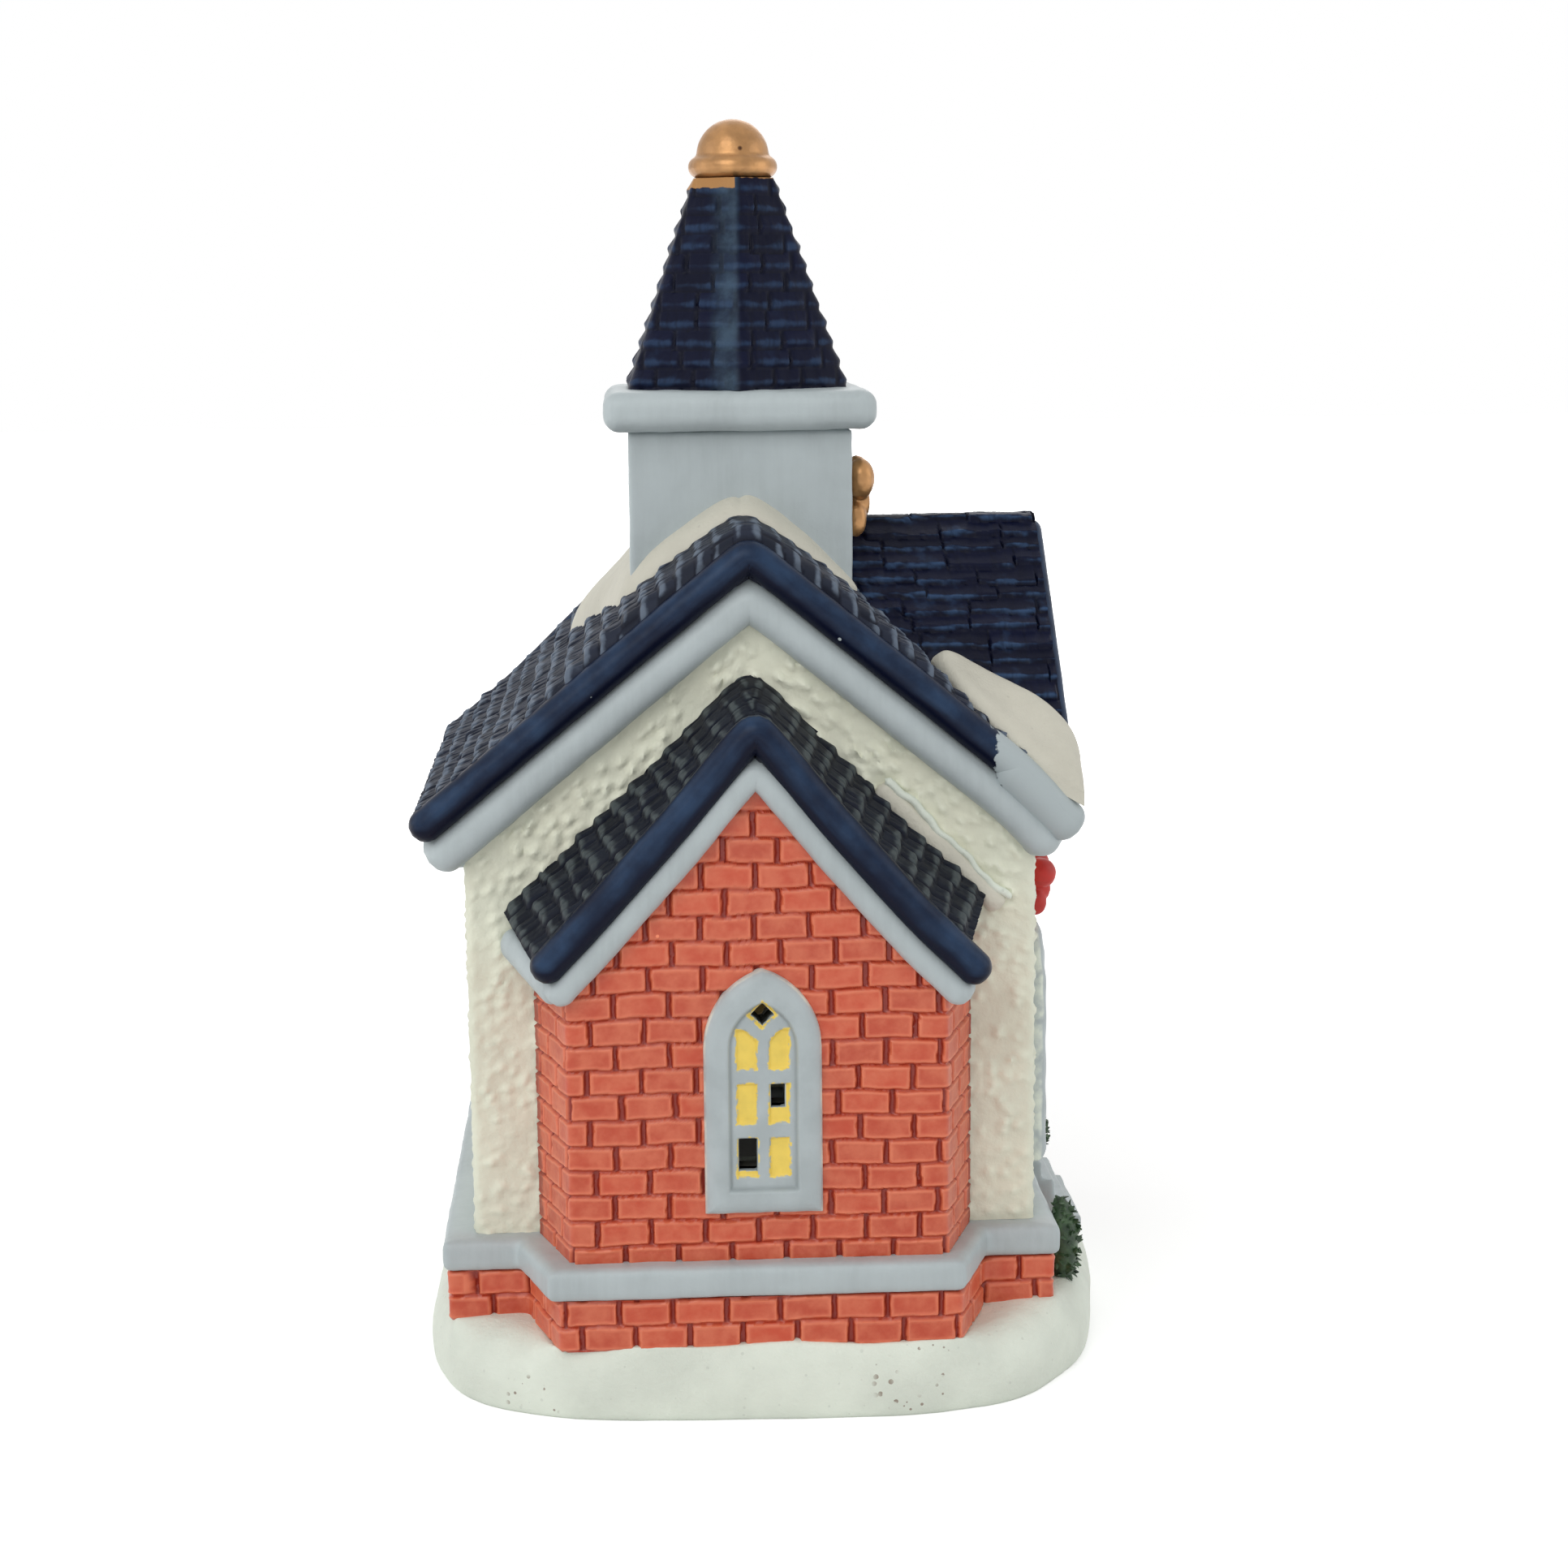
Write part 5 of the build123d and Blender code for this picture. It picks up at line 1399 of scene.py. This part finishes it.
class CHURCH_OT_roofs(bpy.types.Operator):
    """Shingled roofs"""
    bl_idname = "church.roofs"
    bl_label = "Shingled roofs"

    def execute(self, context):
        shingles = context.scene.church_shingles
        step = shingles.fineness
        end_x, end_y = ROOF_X - ROLL, ROOF_Y - ROLL
        rise = RIDGE - EAVE
        # brushed sets how far up each shingle the dry brushing and the painted highlight reach.
        shakes = {
            "width": shingles.shake, "butt": shingles.shake_butt, "joint": shingles.joint * 0.7,
            "ragged": shingles.ragged, "grain": shingles.grain, "lip": 0.36, "brushed": 0.7}
        wide = {
            "width": shingles.width, "butt": shingles.butt, "joint": shingles.joint * 0.4,
            "ragged": shingles.ragged * 1.5, "grain": 0.08, "lip": 0.2, "brushed": 0.34}

        def clad(mesh, courses, half, rise, seed, paint):
            return pressed(mesh, shingle_tree, course=hypot(half, rise) / courses, seed=seed,
                           finish=finish(paint), **(wide if paint == "navy" else shakes))

        across = np.linspace(-ROOF_X, 0, int(ROOF_X / step * 1.1))
        mesh = roof_patch("rear_slope", across, spread(np.full(across.shape, -end_y), end_y, step), True)
        mesh = clad(mesh, COURSES, ROOF_X, rise, 1.0, "slate")
        shown("rear_slope_shingles", mesh, "main_roof")

        patches = []
        for hand in (-1, 1):
            across = np.linspace(0, end_y * ROOF_X / ROOF_Y, int(ROOF_X / step))
            valley = np.maximum(across / ROOF_X - roof_lift(across) / rise, 0) * ROOF_Y - VALLEY_LAP
            ends = (-end_y, -valley) if hand < 0 else (valley, end_y)
            patch = roof_patch("gable_slope", across, spread(*ends, step), True)
            patches.append(clad(patch, COURSES, ROOF_X, rise, 2.0 + hand, "slate"))
            across = np.linspace(0, end_x * ROOF_Y / ROOF_X, int(ROOF_Y / step)) * hand
            valley = np.abs(across) * ROOF_X / ROOF_Y - VALLEY_LAP
            patch = roof_patch("front_slope", across, spread(valley, end_x, step), False)
            patches.append(clad(patch, COURSES, ROOF_Y, rise, 6.0 + hand, "navy"))
        mesh = joined("front_slope_shingles", patches)
        shown("front_slope_shingles", mesh, "main_roof")

        share = np.linspace(0, 1, int((BAY_SLAB_Y - WALL_Y) / step))
        side = np.linspace(*BAY_SPAN, int(BAY_RAKES / step))
        half, eave, ridge = bay_section(share)
        slope = (ridge - eave) / half
        x = side[:, None] * half
        y = np.broadcast_to(share * (BAY_SLAB_Y - WALL_Y) - BAY_SLAB_Y, x.shape)
        z = ridge - slope * soft_ridge(x, BAY_ROUND) + bay_lift(x)
        out = slope_out(x, slope, BAY_ROUND, 0)
        mesh = column_solid(
            "bay_roof", np.stack([x, y, z], -1), -out[:, 0] * SLAB, False, out=out,
            run=y + RUN_START + SIDES_APART * (x > 0), rise=(half - np.abs(x)) * np.hypot(1, slope),
            press=calmed(x, *BAY_CALM))
        half, eave, ridge = BAY_ROOF_FRONT
        mesh = clad(mesh, BAY_COURSES, half, ridge - eave, 4.0, "olive")
        shown("bay_roof_shingles", mesh, "bay_roof")

        far, near, front = gable_lines(ROLL, ROLL - 0.1, longer=ROLL_LONGER)
        far[:, 2] += roof_lift(far[:, 0])
        near = sagged(near, BOARD_DROOP)
        front[:, 0] = ROOF_X - ROLL - FRONT_ROLL_INSET
        bare_end = near[near[:, 0] > GREY_ROLL_X + CORNER_START] - CORNER_SHIFT
        bay = bay_line(ROLL, BAY_SLAB_Y, longer=BAY_ROLL_LONGER)
        coat = finish("roll")
        rolls = [rolled(name, lines, halves, ROLL_WOBBLE, coat, seed) for name, lines, halves, seed in (
            ("gable_rolls", [far, near], (VERGE_ROLL, VERGE_ROLL), 21.0),
            ("corner_roll", [bare_end], CORNER_ROLL, 26.0),
            ("front_roll", [front[2:-2]], (FRONT_ROLL, FRONT_ROLL), 23.0),
            ("bay_roll", [bay], (BAY_ROLL, BAY_ROLL), 22.0))]
        mesh = joined("painted_verge_rolls", rolls[:3])
        shown("painted_verge_rolls", mesh, "verge_rolls")
        shown("painted_bay_roof_roll", rolls[3], "bay_roof_roll")
        return {"FINISHED"}


class CHURCH_OT_tower(bpy.types.Operator):
    """Tower, cornice, spire and finial"""
    bl_idname = "church.tower"
    bl_label = "Tower and spire"

    def execute(self, context):
        clay = context.scene.church_clay
        shingles = context.scene.church_shingles
        for node, rounding, seed in (("tower", 5, 31), ("tower_cornice", 4, 32)):
            mesh = softened(node, clay.voxel, rounding, clay.wobble, 8.0, finish("trim"), seed)
            shown(f"cast_{node}", mesh, node)

        corner = 1 / cos(pi / SPIRE_SIDES)
        turns = [2 * pi / SPIRE_SIDES * k - pi / 2 for k in range(SPIRE_SIDES)]
        corners = [(corner * cos(turn), corner * sin(turn)) for turn in turns]
        path, out, run = rounded_path(corners, 0.09, shingles.fineness / SPIRE_HALF)
        tall, inward = SPIRE_TOP - SPIRE_FOOT, SPIRE_HALF - SPIRE_TOP_HALF
        rows = int(tall / shingles.fineness * 1.2)
        share = np.linspace(0, 1, rows)
        half = SPIRE_HALF - inward * share
        front = raised(path[:, None] * half[:, None], SPIRE_FOOT + tall * share)
        outward = raised(out, inward / tall)
        outward /= np.linalg.norm(outward, axis=1, keepdims=True)
        around = np.where(run > run[-1] / 2, run - run[-1], run)
        side = run[-1] / SPIRE_SIDES
        from_arris = np.abs(around - side * np.round(around / side))[:, None] * half
        beside = around[:, None] * half
        # arris is the share of the painted highlight, on the front arris only, fading more slowly to the
        # left.
        mesh = column_solid(
            "spire", front, -outward * CLAY, True, run=beside + SPIRE_RUN_START,
            press=np.clip(from_arris / ARRIS_CALM, 0.25, 1), smoothed=1.0,
            arris=np.exp(-(beside / np.where(beside < 0, *ARRIS_HIGHLIGHT)) ** 2),
            rise=np.repeat(share[None] * hypot(tall, inward), len(path), 0),
            out=np.repeat(outward[:, None], rows, 1))
        mesh = pressed(mesh, shingle_tree, course=hypot(tall, inward) / SPIRE_COURSES, width=SPIRE_SHINGLE,
                       butt=shingles.butt, joint=shingles.joint, ragged=0.05, lip=0.4, grain=0.03,
                       brushed=0.7, seed=9.0, finish=finish("navy"))
        shown("spire_shingles", mesh, "spire")

        mesh = softened("finial", 0.3, 3, 0.12, 4.0, finish("gilt"), 33)
        shown("gilt_finial", mesh, "finial")
        places = house_points(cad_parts["gold_bow"].data)
        mesh = recast(bow_mesh("gilt_bow", places, TOWER_HALF, *GILT_BOW), *BOW_CASTING, finish("gilt"), 34)
        shown("gilt_bow", mesh, "gold_bow")
        return {"FINISHED"}


def roof_top(x, y):
    """Height of the main roof's outside over a place."""
    long_part = RIDGE - (RIDGE - EAVE) / ROOF_X * soft_ridge(x, LONG_ROUND) + roof_lift(x)
    front_part = np.where(x > 0, RIDGE - (RIDGE - EAVE) / ROOF_Y * soft_ridge(y), 0)
    blend = np.hypot(long_part - front_part, VALLEY_FILL) - VALLEY_FILL
    return np.where(x > 0, (long_part + front_part + blend) / 2 + VALLEY_FILL / 2, long_part)


def collar_mesh(depth):
    """Snow on the roof round three sides of the tower's foot, thinning out to a tip at each end."""
    outer = rounded_path(COLLAR, 6.0, 0.5, False)[0]
    ends = np.linspace(0, 1, len(outer))
    outer *= (1 + 0.012 * np.sin(30 * ends + 1) + 0.008 * np.sin(67 * ends))[:, None]
    inner = outer * ((TOWER_HALF - 0.8) / np.abs(outer).max(1))[:, None]
    taper = lobe(ends * 12) * lobe((1 - ends) * 12)
    outer = inner + (outer - inner) * (0.06 + 0.94 * taper)[:, None]
    share = np.linspace(0, 1, 26) ** 1.6
    plan = outer[:, None] + (inner - outer)[:, None] * share[:, None]
    x, y = plan[..., 0], plan[..., 1]
    edge = np.linalg.norm(plan - outer[:, None], axis=-1)
    wall = np.linalg.norm(plan - inner[:, None], axis=-1)
    heaped = depth * (0.8 - 0.03 * x)
    bridged = (RIDGE - EAVE) / ROOF_X * (COLLAR_ROUND + np.abs(x) - soft_ridge(x, COLLAR_ROUND))
    level = roof_top(x, y) - 0.7
    level += ((heaped + bridged) * lobe(edge / 5) + 1.2 * np.exp(-wall / 3)) * taper[:, None]
    return column_solid("tower_snow", raised(plan, level), np.tile((0, 0, -2.5), (len(outer), 1)), False)


def drift_mesh(depth):
    """Lobe of snow in the valley over the near front corner."""
    along = np.linspace(0, 1, 90)
    paths = [rounded_path(line, 6.0, 0.4, False)[0] for line in (DRIFT_LOWER, DRIFT_UPPER)]
    lower, upper = [np.stack([np.interp(along, np.linspace(0, 1, len(path)), path[:, axis])
                              for axis in (0, 1)], 1) for path in paths]
    share = (1 - np.cos(np.linspace(0, pi, 40))) / 2
    plan = lower[:, None] + (upper - lower)[:, None] * share[:, None]
    width = np.linalg.norm(upper - lower, axis=1)[:, None]
    ends = (lobe(along * 8) * lobe((1 - along) * 8))[:, None]
    rise = lobe(share * width / 4) * lobe((1 - share) * width / 4) * ends
    level = roof_top(plan[..., 0], plan[..., 1]) - 0.8 + (depth + 0.8) * rise
    return column_solid("corner_drift", raised(plan, level), np.tile((0, 0, -2.0), (len(along), 1)), False)


class CHURCH_OT_trim(bpy.types.Operator):
    """Boards, sill band and snow on the roofs"""
    bl_idname = "church.trim"
    bl_label = "Boards, band and roof snow"

    def execute(self, context):
        clay = context.scene.church_clay
        coat = finish("trim")
        for node, rounding, seed, stretch in (
                ("sill_band", 6, 41, BAND_STRETCH), ("front_steps", 4, 44, STEPS_STRETCH),
                ("door_surround", 3, 45, 1.0)):
            mesh = softened(node, clay.voxel, rounding, clay.wobble, 7.0, coat, seed, stretch=stretch)
            shown(f"cast_{node}", mesh, node)

        inset = ROOF_Y - WALL_Y - BOARD_PROUD
        far, near, front = gable_lines(BOARD_DROP, inset, longer=BOARD_LONGER, rounding=1.0)
        far[:, 2] += BOARD_LIFT * roof_lift(far[:, 0])
        near = sagged(near, BOARD_SAG)
        front[:, 0] = WALL_X + BOARD_PROUD
        level = EAVE - BOARD_DROP * cos(atan2(RIDGE - EAVE, ROOF_X))
        rear = line_of(-WALL_X - BOARD_PROUD, np.linspace(-WALL_Y, WALL_Y, 60), level)
        mesh = rolled("cast_barge_boards", [far, near, front, rear], BOARD_HALF, clay.wobble * 0.6, coat,
                      42.0, BOARD_EDGE, BOARD_LEAN)
        shown("cast_barge_boards", mesh, "barge_boards")

        board = bay_line(BAY_BOARD_DROP, BAY_Y + BAY_BOARD_PROUD, longer=BAY_BOARD_LONGER, rounding=1.0)
        half, eave, _ = BAY_ROOF_BACK
        far_end = (BAY_EAVE_IN - half, -WALL_Y, eave - BAY_EAVE_DROP)
        bar = np.linspace(board[0] + BAY_EAVE_FRONT, far_end, 40)
        wobble = clay.wobble * 0.8
        mesh = joined("cast_bay_barge_board", [
            rolled("board", [board], BAY_BOARD_HALF, wobble, coat, 43.0, BOARD_EDGE, BOARD_LEAN),
            rolled("left_eave", [bar], BAY_EAVE_HALF, wobble, coat, 48.0)])
        shown("cast_bay_barge_board", mesh, "bay_barge_board")

        for node, build, seed in (("tower_snow", collar_mesh, 46), ("corner_drift", drift_mesh, 47)):
            mesh = pressed(build(clay.snow_depth), clay_tree, wobble=clay.wobble * 0.7, wave=8.0, seed=seed,
                           finish=finish("slip"))
            shown(f"cast_{node}", mesh, node)
        return {"FINISHED"}


def pane_gap(across, up):
    """Distance outside the nearest pane of a window, below zero inside, in millimetres."""
    gaps = []
    for column in (-1, 1):
        for row in range(PANE_ROWS):
            middle = PANE_FIRST + row * PANE_PITCH
            side = np.abs(across - column * PANE_SIDE) - PANE_WIDTH / 2
            level = np.abs(up - middle) - PANE_HEIGHT / 2
            gap = np.maximum(side, level)
            if row == PANE_ROWS - 1:
                from_mullion = column * across - PANE_SIDE + PANE_WIDTH / 2
                from_top = middle + PANE_HEIGHT / 2 - up
                gap = np.maximum(gap, (PANE_CORNER - from_mullion - from_top) / hypot(1, 1))
            gaps.append(gap)
    gaps.append((np.abs(across) + np.abs(up - DIAMOND_MIDDLE) - DIAMOND_HALF) / hypot(1, 1))
    return np.min(gaps, 0)


def panel_depth(across, up):
    """Distance inside the panel that a window's raised frame goes round."""
    return -lancet_gap(across, up - FRAME_FACE, WINDOW_WIDTH - 2 * FRAME_FACE,
                       WINDOW_HEIGHT - FRAME_FACE - FRAME_CROWN, WINDOW_SPRING - FRAME_FACE)


def scored_line(across, up):
    """Line scored round the panel."""
    return np.exp(-((panel_depth(across, up) - 0.4) / 0.22) ** 2)


def frame_edge(across, up):
    """Distance inside a window's outline."""
    return -lancet_gap(across, up, WINDOW_WIDTH, WINDOW_HEIGHT, WINDOW_SPRING)


def window_relief(across, up):
    """How far a window's face lies behind the top of its frame."""
    waver = 0.12 * np.sin(across * 1.3 + up * 0.4) * np.sin(up * 0.55 + 1)
    rounding = 1.4 * (1 - lobe(frame_edge(across, up) / 2.2))
    panel = FRAME_STEP * eased(panel_depth(across, up) + 0.2, 0.9) + 0.16 * scored_line(across, up)
    return rounding + panel + PANE_DEPTH * eased(0.1 - pane_gap(across, up), 0.35) + waver + 0.12


def window_mesh(name, wall, distance, middle=0.0, proud=WINDOW_PROUD):
    """Lancet window on a wall, with its fields for the paint."""
    along, out = np.array(WALLS[wall])
    half = WINDOW_WIDTH / 2
    across = np.linspace(-half, half, WINDOW_COLUMNS)
    rise = WINDOW_HEIGHT - WINDOW_SPRING
    radius = (half ** 2 + rise ** 2) / (2 * half)
    top = WINDOW_SPRING + np.sqrt(np.maximum(radius ** 2 - (np.abs(across) + radius - half) ** 2, 0))
    path = (across + middle)[:, None] * along + (distance + proud) * out
    mesh = upright_wall(name, path, np.tile(out, (len(across), 1)), across, WINDOW_SILL, WINDOW_SILL + top,
                        proud, WINDOW_WIDTH / WINDOW_COLUMNS, False, relief=window_relief)
    mesh = cut_out(mesh, pierced_panes(wall, distance, middle))
    run, rise = stored(mesh, "run"), stored(mesh, "rise")
    for field, measure in (("pane_gap", pane_gap), ("scored", scored_line), ("edge", frame_edge)):
        store(mesh, field, measure(run, rise))
    return mesh


class CHURCH_OT_windows(bpy.types.Operator):
    """Lancet windows, door and front trim"""
    bl_idname = "church.windows"
    bl_label = "Windows and door"

    def execute(self, context):
        walls = {
            "bay_window": [("-Y", BAY_Y, BAY_WINDOW_X, BAY_WINDOW_PROUD)],
            "back_window": [("-X", WALL_X)],
            "front_windows": [("+X", WALL_X, side * FRONT_WINDOW_Y, FRONT_WINDOW_PROUD) for side in (-1, 1)]}
        for node, places in walls.items():
            mesh = joined(f"painted_{node}", [window_mesh(node, *place) for place in places])
            mesh.materials.append(finish("window"))
            shown(f"painted_{node}", mesh, node)

        mesh = softened("church_door", 0.2, 1, 0.05, 3.0, finish("door"), 54)
        shown("stained_door", mesh, "church_door")
        places = house_points(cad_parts["red_bows"].data)
        bows = [bow_mesh("bow", places[places[:, 1] * hand > 0], WALL_X, *RED_BOW) for hand in (-1, 1)]
        mesh = recast(joined("ribbon_bows", bows), *BOW_CASTING, finish("ribbon"), 55)
        shown("ribbon_bows", mesh, "red_bows")
        for node, seed, stretch in GREENS:
            mesh = softened(node, 0.45, 4, 0.3, 2.5, finish("leaf"), seed, stretch=stretch)
            mesh = pressed(mesh, leaf_tree, leaf_length=0.9, spacing=0.6, finish=finish("leaf"))
            shown(f"leafy_{node}", mesh, node, crease=25)
        return {"FINISHED"}


class CHURCH_OT_lamp(bpy.types.Operator):
    """Clip-in lamp"""
    bl_idname = "church.lamp"
    bl_label = "Clip-in lamp"

    def execute(self, context):
        for node, (name, roughness, metallic, clear, mottle, low, high, grain) in LAMP_PAINTS.items():
            paint = Paint(name, roughness, metallic=metallic, clear=clear)
            share = paint.cloud(*mottle) if len(mottle) == 1 else paint.brush(*mottle)
            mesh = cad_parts[node].data
            mesh.materials.clear()
            mesh.materials.append(paint.finished(paint.mix(share, srgb(*low), srgb(*high)), grain))
        return {"FINISHED"}


# Stage


def looked_at(graph):
    """1 on the way from the camera, straight, by a mirror or through glass, and 0 for light that falls."""
    path = graph.node("ShaderNodeLightPath")
    camera, glossy, through = [
        Wire(graph, path.outputs[f"Is {ray} Ray"]) for ray in ("Camera", "Glossy", "Transmission")]
    return graph.most(camera, graph.most(glossy, through))


class CHURCH_OT_stage(bpy.types.Operator):
    """White floor, soft light and the camera"""
    bl_idname = "church.stage"
    bl_label = "Stage"

    def execute(self, context):
        scene = context.scene
        stage = scene.church_stage
        scene.view_settings.view_transform = "Standard"

        mesh = bpy.data.meshes.new("floor")
        corners = ((-1, -1), (1, -1), (1, 1), (-1, 1))
        mesh.from_pydata([(x * FLOOR_REACH, y * FLOOR_REACH, 0) for x, y in corners], [], [(0, 1, 2, 3)])
        floor = linked("floor", mesh)
        paper = bpy.data.materials.new("white_paper")
        paper.use_nodes = True
        graph = Graph(paper.node_tree)
        shader = paper.node_tree.nodes["Principled BSDF"]
        place = graph.wire("ShaderNodeTexCoord", "Object")
        distance = graph.wire("ShaderNodeVectorMath", "Value", {0: place}, operation="LENGTH")
        glow = looked_at(graph) * (0.4 + graph.smooth(distance, 0.12, 0.7))
        for socket, value in (("Base Color", (0.86, 0.86, 0.86, 1)), ("Roughness", 0.9),
                              ("Emission Color", (1, 1, 1, 1)), ("Emission Strength", glow)):
            graph.feed(shader.inputs[socket], value)
        mesh.materials.append(paper)

        world = bpy.data.worlds.new("studio")
        scene.world = world
        world.use_nodes = True
        graph = Graph(world.node_tree)
        sky = world.node_tree.nodes["Background"]
        sky.inputs["Color"].default_value = (1, 1, 1, 1)
        graph.feed(sky.inputs["Strength"], stage.room_light + looked_at(graph) * (1.0 - stage.room_light))

        for name, place, size, power in LIGHTS:
            light = bpy.data.lights.new(name, "AREA")
            light.energy = getattr(stage, power)
            light.size = size
            holder = linked(name, light)
            holder.location = place
            holder.rotation_euler = (Vector(AIM) - Vector(place)).to_track_quat("-Z", "Y").to_euler()

        yaw, pitch, roll = stage.camera_turn
        forward = Vector((sin(yaw) * cos(pitch), cos(yaw) * cos(pitch), -sin(pitch)))
        right = Vector((cos(yaw), -sin(yaw), 0))
        up = right.cross(forward)
        side = right * cos(roll) - up * sin(roll)
        top = right * sin(roll) + up * cos(roll)
        lens = bpy.data.cameras.new("photo_view")
        lens.lens = stage.lens
        lens.sensor_width = 36.0
        lens.clip_start = 0.01
        camera = linked("photo_view", lens)
        turn = Matrix((side, top, -forward)).transposed().to_4x4()
        camera.matrix_world = Matrix.Translation(Vector(stage.camera_place)) @ turn
        scene.camera = camera
        return {"FINISHED"}


class CHURCH_PT_sidebar(bpy.types.Panel):
    """Pieces of the church, in the order they are made"""
    bl_idname = "CHURCH_PT_sidebar"
    bl_label = "Village church"
    bl_space_type = "VIEW_3D"
    bl_region_type = "UI"
    bl_category = "Church"

    def draw(self, context):
        for operator in OPERATORS:
            self.layout.operator(operator.bl_idname)
        for group in SETTINGS:
            settings = getattr(context.scene, group)
            for name in settings.__annotations__:
                self.layout.prop(settings, name)


OPERATORS = (
    CHURCH_OT_snow_base, CHURCH_OT_brickwork, CHURCH_OT_stucco, CHURCH_OT_roofs, CHURCH_OT_tower,
    CHURCH_OT_trim, CHURCH_OT_windows, CHURCH_OT_lamp, CHURCH_OT_stage)
SETTINGS = {
    "church_paints": ChurchPaints, "church_bricks": ChurchBricks, "church_shingles": ChurchShingles,
    "church_clay": ChurchClay, "church_stage": ChurchStage}


def register():
    for kind in (*SETTINGS.values(), *OPERATORS, CHURCH_PT_sidebar):
        bpy.utils.register_class(kind)
    for name, kind in SETTINGS.items():
        setattr(bpy.types.Scene, name, bpy.props.PointerProperty(type=kind))


def unregister():
    for name in SETTINGS:
        delattr(bpy.types.Scene, name)
    for kind in (CHURCH_PT_sidebar, *reversed(OPERATORS), *SETTINGS.values()):
        bpy.utils.unregister_class(kind)


def main():
    register()
    bpy.ops.church.snow_base()
    bpy.ops.church.brickwork()
    bpy.ops.church.stucco()
    bpy.ops.church.roofs()
    bpy.ops.church.tower()
    bpy.ops.church.trim()
    bpy.ops.church.windows()
    bpy.ops.church.lamp()
    bpy.ops.church.stage()


if __name__ == "__main__":
    main()
